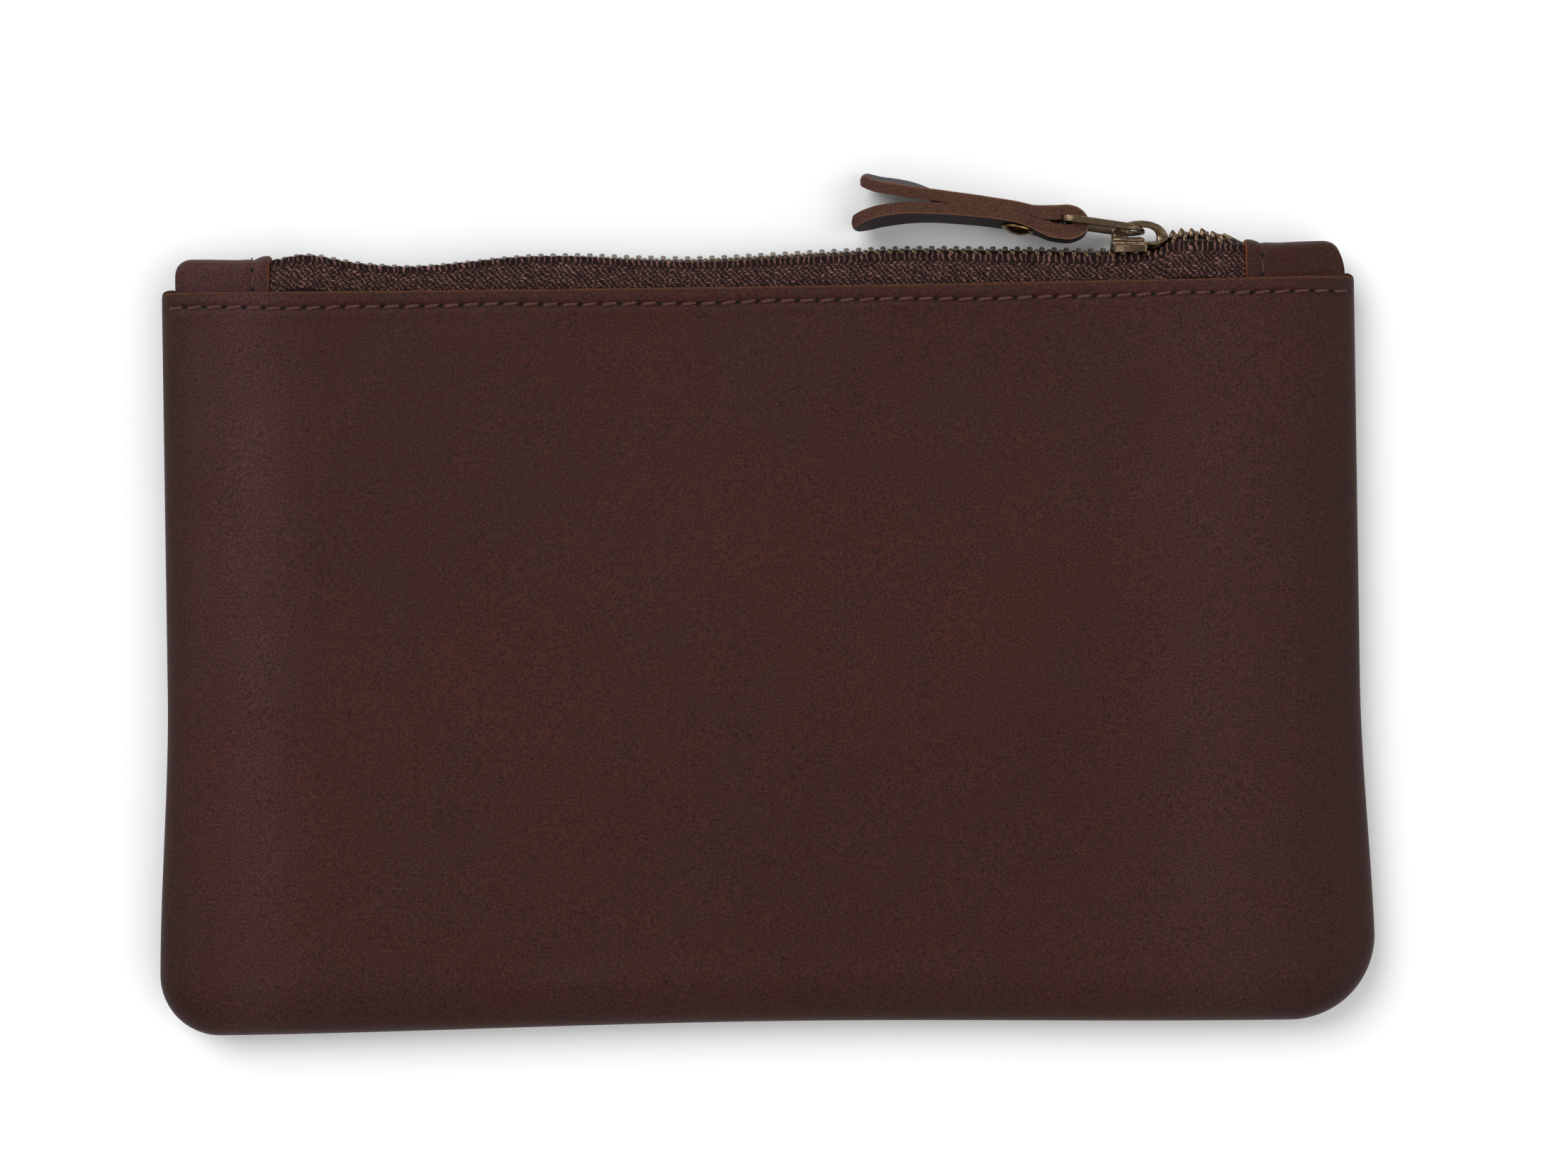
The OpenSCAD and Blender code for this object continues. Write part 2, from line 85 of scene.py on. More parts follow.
LINK_AT = np.array(JOINT["link_swivel"]["pos_m"][:2]) * 1000
LOOP_AT = np.array(JOINT["strap_swivel"]["pos_m"][:2]) * 1000
LEAN = math.radians(6)
ALLOWANCE = 6.0  # leather turned in at the seam
EDGE_ROUND = 0.35  # height of the cut edge's rounding
TINY = 1e-6


def smooth(t):
    t = np.clip(t, 0, 1)
    return t * t * (3 - 2 * t)


def bell(x, centre, width):
    return np.exp(-(((x - centre) / width) ** 2))


def wavy(x, y, size, seed, count=9):
    """A smooth, seeded ripple of about one unit in height, with features of that size."""
    rng = np.random.default_rng(seed)
    total = np.zeros(np.broadcast(x, y).shape)
    for _ in range(count):
        angle, phase = rng.uniform(0, 2 * math.pi, 2)
        k = 2 * math.pi / (size * rng.uniform(0.7, 1.6))
        total = total + np.sin(k * (x * math.cos(angle) + y * math.sin(angle)) + phase)
    return total / math.sqrt(count)


# ---- mesh helpers ----

def placed(name, data):
    """A new object in the scene."""
    obj = bpy.data.objects.new(name, data)
    bpy.context.scene.collection.objects.link(obj)
    return obj


def turned(first, second, angle):
    """Two coordinates turned about their origin, by an angle in radians."""
    c, s = math.cos(angle), math.sin(angle)
    return first * c - second * s, first * s + second * c


def add_mesh(name, verts, faces, material, sharp=50, **attributes):
    """A mesh from points in millimetres, smooth but for its sharp edges, with per-point attributes."""
    verts = np.asarray(verts, float)
    mesh = bpy.data.meshes.new(name)
    mesh.from_pydata((verts / 1000).tolist(), [], [list(f) for f in faces])
    mesh.validate()
    for key, value in {"flat": verts / 1000, **attributes}.items():
        value = np.asarray(value, float)
        kind = "FLOAT_VECTOR" if value.ndim == 2 else "FLOAT"
        layer = mesh.attributes.new(key, kind, "POINT")
        layer.data.foreach_set("vector" if value.ndim == 2 else "value", value.ravel())
    obj = placed(name, mesh)
    turn_out(mesh)
    mesh.shade_smooth()
    mesh.set_sharp_from_angle(angle=math.radians(sharp))
    mesh.materials.append(material)
    return obj


def turn_out(mesh):
    bm = bmesh.new()
    bm.from_mesh(mesh)
    bmesh.ops.recalc_face_normals(bm, faces=bm.faces)
    bm.to_mesh(mesh)
    bm.free()


def grid_faces(rows, cols, base=0, flip=False):
    j, i = np.meshgrid(np.arange(rows - 1), np.arange(cols - 1), indexing="ij")
    a = base + j * cols + i
    quad = [a, a + 1, a + cols + 1, a + cols]
    if flip:
        quad = quad[::-1]
    return np.stack([q.ravel() for q in quad], 1).tolist()


def strip_faces(first, second):
    """Quads between two equally long lists of point numbers."""
    return [[first[k], first[k + 1], second[k + 1], second[k]] for k in range(len(first) - 1)]


def loft(rings, closed=False):
    """Points and faces of a tube through equal rings, with capped ends unless it closes on itself."""
    rings = np.asarray(rings, float)
    n, m = rings.shape[:2]
    faces = []
    for k in range(n if closed else n - 1):
        a, b = k * m, ((k + 1) % n) * m
        faces += [[a + i, a + (i + 1) % m, b + (i + 1) % m, b + i] for i in range(m)]
    if not closed:
        faces += [list(range(m - 1, -1, -1)), [(n - 1) * m + i for i in range(m)]]
    return rings.reshape(-1, 3), faces


def merge(parts):
    """One list of points and one of faces from several."""
    verts, faces, base = [], [], 0
    for v, f in parts:
        verts.append(v)
        faces += [[base + i for i in face] for face in f]
        base += len(v)
    return np.concatenate(verts), faces


def superellipse(rx, ry, power, count=16):
    a = np.linspace(0, 2 * math.pi, count, endpoint=False)
    c, s = np.cos(a), np.sin(a)
    bent = [r * np.sign(v) * np.abs(v) ** (2 / power) for r, v in ((rx, c), (ry, s))]
    return np.stack(bent, 1)


def catmull(points, per):
    """A smooth curve through points, with that many steps between two of them."""
    p = np.asarray(points, float)
    p = np.concatenate([[2 * p[0] - p[1]], p, [2 * p[-1] - p[-2]]])
    out = []
    for k in range(1, len(p) - 2):
        for t in np.linspace(0, 1, per, endpoint=False):
            out.append(0.5 * (2 * p[k] + (p[k + 1] - p[k - 1]) * t
                              + (2 * p[k - 1] - 5 * p[k] + 4 * p[k + 1] - p[k + 2]) * t * t
                              + (3 * p[k] - p[k - 1] - 3 * p[k + 1] + p[k + 2]) * t ** 3))
    out.append(p[-2])
    return np.array(out)


SIDES = ((-1, "left", lambda x: x < 0), (1, "right", lambda x: x >= 0))


def bend_with_mouth(obj):
    """Applies the piece's placement to its points."""
    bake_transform(obj)


def stand_in(piece, node_name, body=None, side=0):
    """The piece stands for a CAD node, which it hides; it rides on a body, or has its placement applied
    when it has a side.
    """
    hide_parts(node_name)
    if side:
        bend_with_mouth(piece)
    else:
        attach(piece, body)


# ---- materials ----

def new_material(name):
    mat = bpy.data.materials.new(name)
    mat.use_nodes = True
    return mat, mat.node_tree, mat.node_tree.nodes["Principled BSDF"]


def feed(tree, target, inputs):
    """Each input of a node gets a value, or the link from another node's output."""
    for key, value in inputs.items():
        if isinstance(value, bpy.types.NodeSocket):
            tree.links.new(value, target.inputs[key])
        else:
            target.inputs[key].default_value = value


def made(tree, kind, inputs, output, **settings):
    """One output of a new shader node."""
    target = tree.nodes.new("ShaderNode" + kind)
    for key, value in settings.items():
        setattr(target, key, value)
    feed(tree, target, inputs)
    return target.outputs[output]


def srgb(r, g, b):
    """A linear colour from sRGB values of 0 to 255."""
    linear = (c / 255 / 12.92 if c < 10 else ((c / 255 + 0.055) / 1.055) ** 2.4 for c in (r, g, b))
    return (*linear, 1)


def darker(colour, share):
    return (*(c * share for c in colour[:3]), 1)


def attribute(tree, name, output="Fac"):
    return made(tree, "Attribute", {}, output, attribute_name=name)


def millimetres(tree, source):
    return made(tree, "VectorMath", {0: source, "Scale": 1000.0}, 0, operation="SCALE")


def noise(tree, coords, scale, detail=3.0, rough=0.55):
    inputs = {"Vector": coords, "Scale": scale, "Detail": detail, "Roughness": rough}
    return made(tree, "TexNoise", inputs, "Fac")


def voronoi(tree, coords, scale):
    return made(tree, "TexVoronoi", {"Vector": coords, "Scale": scale}, "Distance")


def ramp(tree, source, old, new):
    """A value moved from an old range to a new one, and clamped to it."""
    inputs = {"Value": source, "From Min": old[0], "From Max": old[1], "To Min": new[0], "To Max": new[1]}
    return made(tree, "MapRange", inputs, "Result")


def mix(tree, factor, first, second, mode="MIX"):
    return made(tree, "Mix", {0: factor, 6: first, 7: second}, 2, data_type="RGBA", blend_type=mode)


def calc(tree, operation, first, second):
    return made(tree, "Math", {0: first, 1: second}, 0, operation=operation)


def bump(tree, height, distance, strength=1.0, after=None):
    inputs = {"Distance": distance, "Strength": strength, "Height": height}
    if after is not None:
        inputs["Normal"] = after
    return made(tree, "Bump", inputs, "Normal")


def leather_material(name, main, red, sheen_and_tone_colour, cut, flesh, rim, rough_at=0.54):
    """Waxed leather: quiet mottling and pits, cooler and paler where "pull" is high (painted sheen on the
    panels and the left tab, random paler patches on the strap), darker by painted shade where the shade
    attribute is high, raw fibres where "cut" is, and painted shade in the needle holes along the line that
    "sew" measures from."""
    mat, tree, shader = new_material(name)
    coords = millimetres(tree, attribute(tree, "flat", "Vector"))
    mottle = noise(tree, coords, 0.045, 5.0, 0.62)
    patch = noise(tree, coords, 0.013, 2.0, 0.5)
    fine = noise(tree, coords, 2.3, 4.0, 0.7)
    cells = voronoi(tree, coords, 2.1)
    pores = voronoi(tree, coords, 0.24)
    fibre = noise(tree, coords, 3.0, 5.0, 0.8)
    colour = mix(tree, ramp(tree, mottle, (0.38, 0.62), (0.0, 1.0)), main, red)
    colour = mix(tree, ramp(tree, patch, (0.42, 0.66), (0.0, 0.5)), colour, darker(main, 0.8))
    # painted sheen: the cool, paler colour comes in where "pull" is high; on the strap the same attribute
    # gives random paler patches of tone
    colour = mix(tree, attribute(tree, "pull"), colour, sheen_and_tone_colour)
    # painted shade: a much darker leather where the shade attribute is high
    colour = mix(tree, attribute(tree, "shade"), colour, darker(main, 0.35))
    grain = ramp(tree, fine, (0.3, 0.7), (0.1, 1.9))
    colour = mix(tree, 1.0, colour, grain, "MULTIPLY")
    speck = ramp(tree, pores, (0.05, 0.025), (0.0, 0.5))
    colour = mix(tree, speck, colour, cut)
    raw = mix(tree, ramp(tree, fibre, (0.36, 0.62), (0.0, 1.0)), flesh, cut)
    raw = mix(tree, attribute(tree, "tan"), raw, rim)
    cut_share = attribute(tree, "cut")
    colour = mix(tree, cut_share, colour, raw)
    sew = tree.nodes.new("ShaderNodeSeparateXYZ")
    tree.links.new(millimetres(tree, attribute(tree, "sew", "Vector")), sew.inputs[0])
    shifted = calc(tree, "ADD", sew.outputs["X"], 400 * STITCH)
    along = calc(tree, "PINGPONG", shifted, STITCH / 2)
    along = calc(tree, "DIVIDE", along, 0.56)
    across = calc(tree, "DIVIDE", sew.outputs["Y"], 0.34)
    reach = calc(tree, "ADD", calc(tree, "MULTIPLY", along, along), calc(tree, "MULTIPLY", across, across))
    # painted shade: near-black spots in the needle holes at the ends of the stitches
    hole_shade = ramp(tree, reach, (1.3, 0.5), (0.0, 0.97))
    hole_shade = calc(tree, "MULTIPLY", hole_shade, sew.outputs["Z"])
    colour = mix(tree, hole_shade, colour, (0.003, 0.002, 0.002, 1))
    rough = ramp(tree, fine, (0.3, 0.7), (rough_at - 0.06, rough_at + 0.08))
    rough = calc(tree, "ADD", rough, calc(tree, "MULTIPLY", cut_share, 0.35))
    first = bump(tree, cells, 0.00005, 0.3)
    second = bump(tree, fine, 0.00012, 0.5, first)
    coarse = calc(tree, "MULTIPLY", fibre, cut_share)
    feed(tree, shader, {"Base Color": colour, "Roughness": rough, "Specular IOR Level": 0.15,
                        "Normal": bump(tree, coarse, 0.0003, 0.9, second)})
    return mat


def tape_material():
    """Woven tape: painted highlights on the yarn crests and painted shade in the gaps between them, from
    the yarns' height, with a soft sheen.
    """
    mat, tree, shader = new_material("zip_tape_weave")
    coords = millimetres(tree, attribute(tree, "flat", "Vector"))
    yarn = attribute(tree, "yarn")
    fuzz = noise(tree, coords, 7.0, 4.0, 0.7)
    patch = noise(tree, coords, 0.5, 3.0)
    # painted light: the yarns' height mixes a dark gap colour up to a pale crest colour
    colour = mix(tree, calc(tree, "POWER", yarn, 1.6), srgb(27, 14, 12), srgb(150, 108, 100))
    colour = mix(tree, 1.0, colour, ramp(tree, patch, (0.3, 0.7), (0.6, 1.4)), "MULTIPLY")
    colour = mix(tree, 1.0, colour, ramp(tree, fuzz, (0.3, 0.7), (0.7, 1.3)), "MULTIPLY")
    feed(tree, shader, {"Base Color": colour, "Roughness": 0.5, "Specular IOR Level": 0.06,
                        "Normal": bump(tree, fuzz, 0.0001, 0.6)})
    return mat


def thread_material():
    mat, tree, shader = new_material("sewing_thread_twist")
    coords = millimetres(tree, made(tree, "TexCoord", {}, "Object"))
    fuzz = noise(tree, coords, 7.0, 4.0, 0.7)
    colour = mix(tree, ramp(tree, fuzz, (0.3, 0.7), (0.0, 1.0)), srgb(26, 13, 12), srgb(116, 80, 72))
    feed(tree, shader, {"Base Color": colour, "Roughness": 0.55, "Specular IOR Level": 0.12,
                        "Normal": bump(tree, fuzz, 0.00008, 0.5)})
    return mat


def brass_material(name, bright, dull, rough):
    """Antique brass: bright metal with a brown patina in patches, fine scratches and pits."""
    mat, tree, shader = new_material(name)
    coords = millimetres(tree, made(tree, "TexCoord", {}, "Object"))
    patina = noise(tree, coords, 1.5, 6.0, 0.7)
    fine = noise(tree, coords, 6.0, 3.0, 0.7)
    colour = mix(tree, ramp(tree, patina, (0.34, 0.66), (0.1, 0.9)), bright, dull)
    feed(tree, shader, {"Base Color": colour, "Metallic": 1.0,
                        "Roughness": ramp(tree, patina, (0.35, 0.7), (rough - 0.08, rough + 0.12)),
                        "Normal": bump(tree, fine, 0.00004, 0.35)})
    return mat


# the third colour of each leather goes where "pull" is high: painted sheen on the panels and tabs, random
# paler patches on the strap
LEATHER_MAT = leather_material("brown_leather", srgb(52, 25, 18), srgb(56, 24, 17), srgb(65, 38, 37),
                               srgb(98, 62, 45), srgb(54, 31, 23), srgb(158, 84, 36))
STRAP_MAT = leather_material("strap_leather", srgb(38, 24, 27), srgb(35, 22, 23), srgb(44, 30, 34),
                             srgb(99, 66, 52), srgb(48, 31, 25), srgb(160, 114, 90), 0.6)
TAPE_MAT = tape_material()
THREAD_MAT = thread_material()
BRASS_MAT = brass_material("antique_brass", (0.235, 0.16, 0.098, 1), (0.045, 0.03, 0.02, 1), 0.27)
TEETH_MAT = brass_material("teeth_brass", (0.19, 0.13, 0.078, 1), (0.035, 0.023, 0.015, 1), 0.27)
RIVET_MAT = brass_material("rivet_brass", (0.42, 0.26, 0.10, 1), (0.09, 0.05, 0.022, 1), 0.26)


# ---- the panels ----

def half_width(y, inset):
    return WIDTH / 2 + FLARE * (1 - smooth((y + 66) / 60)) - inset


def bottom_line(x, inset):
    limit = half_width(BOTTOM, 0) - np.where(np.asarray(x) < 0, CORNER[-1], CORNER[1])
    return BOTTOM + inset + BOTTOM_RISE * np.cos(0.5 * math.pi * np.clip(np.abs(x) / limit, 0, 1)) ** 2


def side_curve(side, t, inset):
    r = max(CORNER[side] - inset, 2)
    arc, low = r * math.pi / 4, BOTTOM + inset
    share = arc / (arc + LIP - low - r)
    a = np.radians(45 * t / share - 45)
    y = np.where(t < share, low + r + r * np.sin(a), low + r + (LIP - low - r) * (t - share) / (1 - share))
    x = np.where(t < share, half_width(low + r, inset) - r + r * np.cos(a), half_width(y, inset))
    return np.stack([side * x, y], -1)


def bottom_curve(t, inset):
    rl, rr, low = max(CORNER[-1] - inset, 2), max(CORNER[1] - inset, 2), BOTTOM + inset
    x0, x1 = rl - half_width(low, inset), half_width(low, inset) - rr
    al, ar = rl * math.pi / 4, rr * math.pi / 4
    total = al + ar + x1 - x0
    s = t * total
    left, right = np.radians(225 + 45 * s / al), np.radians(315 - 45 * (total - s) / ar)
    x = np.where(s < al, x0 + rl * np.cos(left),
                 np.where(s > total - ar, x1 + rr * np.cos(right), x0 + s - al))
    y = np.where(s < al, low + rl + rl * np.sin(left),
                 np.where(s > total - ar, low + rr + rr * np.sin(right), bottom_line(x, inset)))
    return np.stack([x, y], -1)


def fill(s, v, inset):
    """Plane points of the outline's inside, for columns s and rows v, each from 0 to 1."""
    s, v = np.asarray(s, float), np.asarray(v, float)
    left, right = (side_curve(side, v, inset)[:, None] for side in (-1, 1))
    bottom = bottom_curve(s, inset)[None]
    tl, tr = (side_curve(side, np.array([1.0]), inset)[0] for side in (-1, 1))
    bl, br = bottom_curve(np.array([0.0, 1.0]), inset)
    ss, vv = s[None, :, None], v[:, None, None]
    top = tl + (tr - tl) * ss
    return ((1 - ss) * left + ss * right + (1 - vv) * bottom + vv * top
            - ((1 - ss) * (1 - vv) * bl + ss * (1 - vv) * br + (1 - ss) * vv * tl + ss * vv * tr))


def roll(d):
    return np.sqrt(1 - (1 - np.clip(d / ROLL, 0, 1)) ** 2)


ROLL_STEPS = (1 - np.cos(np.linspace(0, math.pi / 2, 17))) * ROLL


def columns(lo, hi):
    """Column positions from lo to hi, fine round the rolled edges."""
    edge = ROLL_STEPS / WIDTH
    middle = np.linspace(ROLL / WIDTH, 1 - ROLL / WIDTH, 419)[1:-1]
    every = np.concatenate([edge, middle, 1 - edge[::-1]])
    return every[(every >= lo - 1e-9) & (every <= hi + 1e-9)]


ROWS = np.concatenate([ROLL_STEPS / HEIGHT,
                       np.linspace(ROLL / HEIGHT, 1 - 7 / HEIGHT, 118)[1:-1],
                       1 - np.linspace(7, EDGE_ROUND, 27) / HEIGHT])
# creases near the bottom corners: x, y, angle in degrees, length and depth
CREASES = [(-88, -52, 38, 22, 0.16), (-76, -46, 44, 16, 0.12), (-97, -38, 57, 14, 0.12),
           (-63, -58, 30, 18, 0.1), (-103, -55, 49, 12, 0.14), (84, -58, 128, 12, 0.08),
           (-46, -63, 15, 20, 0.08)]


def stitch_phase(x):
    """Distance along the line of stitches to the nearest gap between two of them."""
    return (x + STITCH / 2) % STITCH - STITCH / 2


def stitch_line(x):
    """Height of the row of stitches, which wanders a little."""
    return LIP - 3.05 + 0.14 * np.sin(x / 11.0) + 0.10 * np.sin(x / 4.3 + 1.0) + 0.12 * x / WIDTH


def dip(x, y):
    """How far the front panel's cut edge hangs below the back one's, fading out down the panel."""
    return (0.8 + 0.55 * (1 - np.clip(np.abs(x) / (WIDTH / 2), 0, 1) ** 2)) * smooth((y - LIP + 30) / 28)


def relief(x, y, s, v, face):
    """Height of the leather over the plain shell: slow waves, the allowance's ridge, stitches, creases."""
    inside = np.minimum(np.minimum(s, 1 - s) * WIDTH, v * HEIGHT)
    calm = smooth(inside / 16) * smooth((LIP - y) / 10)
    waves = 0.20 * wavy(x, y, 58, 3) + 0.06 * wavy(x, y, 17, 4)
    ridge = 0.24 * bell(inside, 9.5, 2.6) - 0.16 * bell(inside, 15.5, 4.0)
    ridge = ridge * (0.65 + 0.35 * wavy(x, y, 30, 5))
    row = y - stitch_line(x)
    seam = -0.20 * bell(row, 0, 0.6) - 0.5 * bell(row, 0, 0.42) * bell(stitch_phase(x), 0, 0.48)
    lift = 0.10 * bell(row, -1.6, 1.1) + 0.10 * bell(row, 1.4, 0.8)
    within = smooth((WIDTH / 2 - 0.6 - np.abs(x)) / 1.0)
    height = calm * waves + ridge * smooth((LIP - y) / 14) + (seam + lift) * within
    if face > 0:
        for cx, cy, angle, length, depth in CREASES:
            along, across = turned(x - cx, y - cy, -math.radians(angle))
            across = across + 0.007 * along ** 2 + 0.4 * np.sin(along / 4)
            height = height - depth * bell(across, 0, 0.9) * smooth((length / 2 - np.abs(along)) / 5)
    return height


def surface(x, y, s, v, face, top):
    """Height of a panel's outer face over the seam, then what it is made of."""
    cover = roll(np.minimum(s, 1 - s) * WIDTH) * roll(v * HEIGHT)
    crown = 4 * s * (1 - s) * np.sin(math.pi * v) ** 1.5 * top
    bumps = relief(x, y, s, v, face)
    if face < 0:
        bumps = np.minimum(bumps * 0.7, 0.0)
    return GAP + (HALF - GAP) * cover + crown + bumps * cover, cover, crown, bumps


def panel_piece(name, lo, hi, face, top):
    """One leather panel, or the part between two columns: face is 1 for the front, -1 for the back."""
    s, v = columns(lo, hi), ROWS
    nc, nr = len(s), len(v)
    ss, vv = np.meshgrid(s, v)
    out, inn = fill(s, v, 0), fill(s, v, LEATHER)
    z_out, cover, crown, bumps = surface(out[..., 0], out[..., 1], ss, vv, face, top)
    z_inn = (GAP + LEATHER + (HALF - GAP - 2 * LEATHER) * cover + crown
             + 0.6 * bumps * cover * smooth((LIP - out[..., 1]) / 8))
    parts = [np.dstack([out, z_out]).reshape(-1, 3), np.dstack([inn, z_inn]).reshape(-1, 3)]
    base = nc * nr
    faces = grid_faces(nr, nc) + grid_faces(nr, nc, base, True)
    # the cut edge, rounded over and a little rough
    count = 2 * base
    rows_at = [[(nr - 1) * nc + i for i in range(nc)]]
    for share, rise in ((0.03, 0.17), (0.13, 0.30), (0.3, 0.35), (0.5, 0.36), (0.7, 0.35), (0.87, 0.30),
                        (0.97, 0.17)):
        a, b = parts[0][-nc:], parts[1][-nc:]
        ring = a + (b - a) * share
        rough = 0.05 * wavy(ring[:, 0], share * 3.0, 1.7, 21) + 0.03 * RNG.standard_normal(nc)
        ring = np.stack([ring[:, 0], LIP - EDGE_ROUND + rise + rough * min(1, 3 * rise), ring[:, 2]], 1)
        parts.append(ring)
        rows_at.append(list(range(count, count + nc)))
        count += nc
    rows_at.append([base + (nr - 1) * nc + i for i in range(nc)])
    for a, b in zip(rows_at[:-1], rows_at[1:]):
        faces += strip_faces(a, b)
    # the seam edge, and the allowance turned in from it
    path = []
    if lo < TINY:
        path += [(j, 0) for j in range(nr - 1, 0, -1)]
    path += [(0, i) for i in range(nc)]
    if hi > 1 - TINY:
        path += [(j, nc - 1) for j in range(1, nr)]
    width = np.array([ALLOWANCE + (LEATHER + 0.3 - ALLOWANCE) * float(smooth((v[j] - 0.8) / 0.12))
                      for j, _ in path])
    edge_out, edge_in = (np.array([skin[j, i] for j, i in path]) for skin in (out, inn))
    inward = (edge_in - edge_out) / np.maximum(np.linalg.norm(edge_in - edge_out, axis=1), TINY)[:, None]
    tuck = edge_out + inward * width[:, None]
    low, high = (list(range(count + k * len(path), count + (k + 1) * len(path))) for k in (0, 1))
    parts += [np.column_stack([tuck, np.full(len(path), z)]) for z in (GAP, GAP + LEATHER)]
    outer_at, inner_at = [j * nc + i for j, i in path], [base + j * nc + i for j, i in path]
    faces += strip_faces(outer_at, low) + strip_faces(low, high) + strip_faces(high, inner_at)
    # the open ends: the top of each side, and the middle where the two halves meet
    for end, whole in ((0, lo < TINY), (-1, hi > 1 - TINY)):
        rim = [r[end] for r in rows_at]
        if whole:
            faces.append(rim + [high[end], low[end]])
        else:
            column = [j * nc + end % nc for j in range(nr)]
            faces += strip_faces(column, [base + c for c in column])
            faces += [rim, [outer_at[end], low[end], high[end], inner_at[end]]]
    verts = np.concatenate(parts)
    x, y, n = verts[:, 0].copy(), verts[:, 1].copy(), len(verts)
    reach = np.clip((WIDTH / 2 - np.abs(x)) / 1.6, 0, 1)
    verts[:, 1] -= 1.0 * (1 - np.sqrt(1 - (1 - reach) ** 2)) * smooth((y - LIP + 3) / 3)
    if face > 0:
        verts[:, 1] -= dip(x, y)
    cut = np.ones(n)
    cut[:base] = np.clip(0.8 * bell(y[:base], LIP - EDGE_ROUND, 0.16), 0, 1)
    xo, yo = x[:base], y[:base]
    # painted sheen: cool, paler bands a little inside the left edge and, fainter, inside the right one,
    # where the light from the left catches the leather
    painted_sheen = 0.75 * bell(xo, -WIDTH / 2 + 17, 8.5) * (0.45 + 0.55 * smooth((yo + 80) / 150))
    painted_sheen = painted_sheen + 0.30 * bell(xo, WIDTH / 2 - 31, 14)
    pull = np.zeros(n)
    pull[:base] = np.clip(painted_sheen * (0.85 + 0.15 * wavy(xo, yo, 24, 9)), 0, 1)
    # painted shade: darker along the rolled side edges and the bottom edge
    shade = np.zeros(n)
    shade[:base] = (0.5 * bell(xo, -WIDTH / 2 - 1, 6) + 0.42 * bell(xo, WIDTH / 2 + 1, 11)
                    + 0.3 * bell(yo, BOTTOM, 9))
    row = np.zeros((n, 3))
    row[:, 0], row[:, 1] = x / 1000, 1
    row[:base, 1] = (yo - stitch_line(xo)) / 1000
    row[:base, 2] = smooth((WIDTH / 2 - 1.5 - np.abs(xo)) / 0.5) / 1000
    verts[:, 2] = MID_Z + face * verts[:, 2]
    return add_mesh(name, verts, faces, LEATHER_MAT, cut=cut, pull=pull, shade=np.clip(shade, 0, 1),
                    sew=row)


for side, name, _ in SIDES:
    piece = panel_piece("front_panel_" + name, *((0, 0.5) if side < 0 else (0.5, 1)), 1, CROWN)
    stand_in(piece, "front_panel", side=side)
stand_in(panel_piece("back_panel_shell", 0, 1, -1, 0), "back_panel", "pouch_back")


# ---- sewing thread ----

def shell_height(x, y, face, top):
    """Outer height of a panel over the seam, close to its top edge."""
    s = np.clip(x / (2 * half_width(y, 0)) + 0.5, 0, 1)
    v = np.clip((y - BOTTOM) / HEIGHT, 0, 1)
    return surface(x, y, s, v, face, top)[0]


def stitch_mesh(start, end, up, rise, radius=0.34, turns=5.5):
    """One stitch of two-ply twisted thread: it leaves its first hole thick and sinks into the second."""
    start, end, up = (np.asarray(p, float) for p in (start, end, up))
    along = (end - start) / np.linalg.norm(end - start)
    side = np.cross(up, along)
    rings = []
    for t in np.linspace(0, 1, 26):
        if t < 0.8:
            lift = rise * math.sin(math.pi * min(t * 1.25, 1) ** 0.8) ** 0.4
        else:
            lift = rise * (1 - ((t - 0.8) / 0.2) ** 2) * 0.55
        centre = start + (end - start) * t + up * (lift - 0.4 * max(0, 1 - 8 * t) ** 2)
        a = np.linspace(0, 2 * math.pi, 10, endpoint=False)
        lobe = 1 + 0.32 * np.cos(2 * a - turns * 2 * math.pi * t)
        size = radius * (0.7 + 0.3 * math.sin(math.pi * min(1, t + 0.12)) ** 0.6) * (1 - 0.15 * t)
        rings.append(centre + size * (np.outer(lobe * np.cos(a), side) + np.outer(lobe * np.sin(a), up)))
    return loft(rings)


def topstitch_piece(name, face, top, keep):
    count = int((WIDTH / 2 - 1) / STITCH)
    parts = []
    for k in (k for k in range(-count, count) if keep((k + 0.5) * STITCH)):
        mid = (k + 0.5) * STITCH
        slant = 0.17 + 0.05 * math.sin(5.1 * k)
        ends = []
        for e in (-1, 1):
            x = mid + e * (STITCH / 2 - 0.58)
            y = float(stitch_line(x)) + e * slant
            z = float(shell_height(np.array(x), np.array(y), face, top))
            ends.append((x, y, MID_Z + face * z))
        parts.append(stitch_mesh(*ends, (0, 0, face), 0.26 if face > 0 else 0.0))
    verts, faces = merge(parts)
    if face > 0:
        verts[:, 1] -= dip(verts[:, 0], verts[:, 1])
    else:
        verts[:, 2] = np.maximum(verts[:, 2], 0.02)
    return add_mesh(name, verts, faces, THREAD_MAT)


for side, name, keep in SIDES:
    piece = topstitch_piece("front_topstitch_" + name, 1, CROWN, keep)
    stand_in(piece, "front_topstitch", side=side)
piece = topstitch_piece("back_topstitch_run", -1, 0, lambda x: True)
stand_in(piece, "back_topstitch", "pouch_back")


# ---- the zip's chain ----

# the chain's waves in and out, in millimetres, by place along the mouth
WAVE = catmull([(-104, -0.4), (-96, -0.1), (-89.2, 0.8), (-79.8, -0.9), (-71, -1.75), (-65, -1.7),
                (-57, -1.05), (-50, -0.35), (-43, 0.05), (-34, 0.0), (-27, -0.4), (-16, -0.85),
                (-8, -0.8), (4, -0.3), (17, 0.2), (30, 0.5), (45, 0.2), (57, -0.1), (66, -0.5),
                (71, -0.3), (77, 0), (90, 0), (104, 0)], 8)
CHAIN_LEAN = math.radians(13)


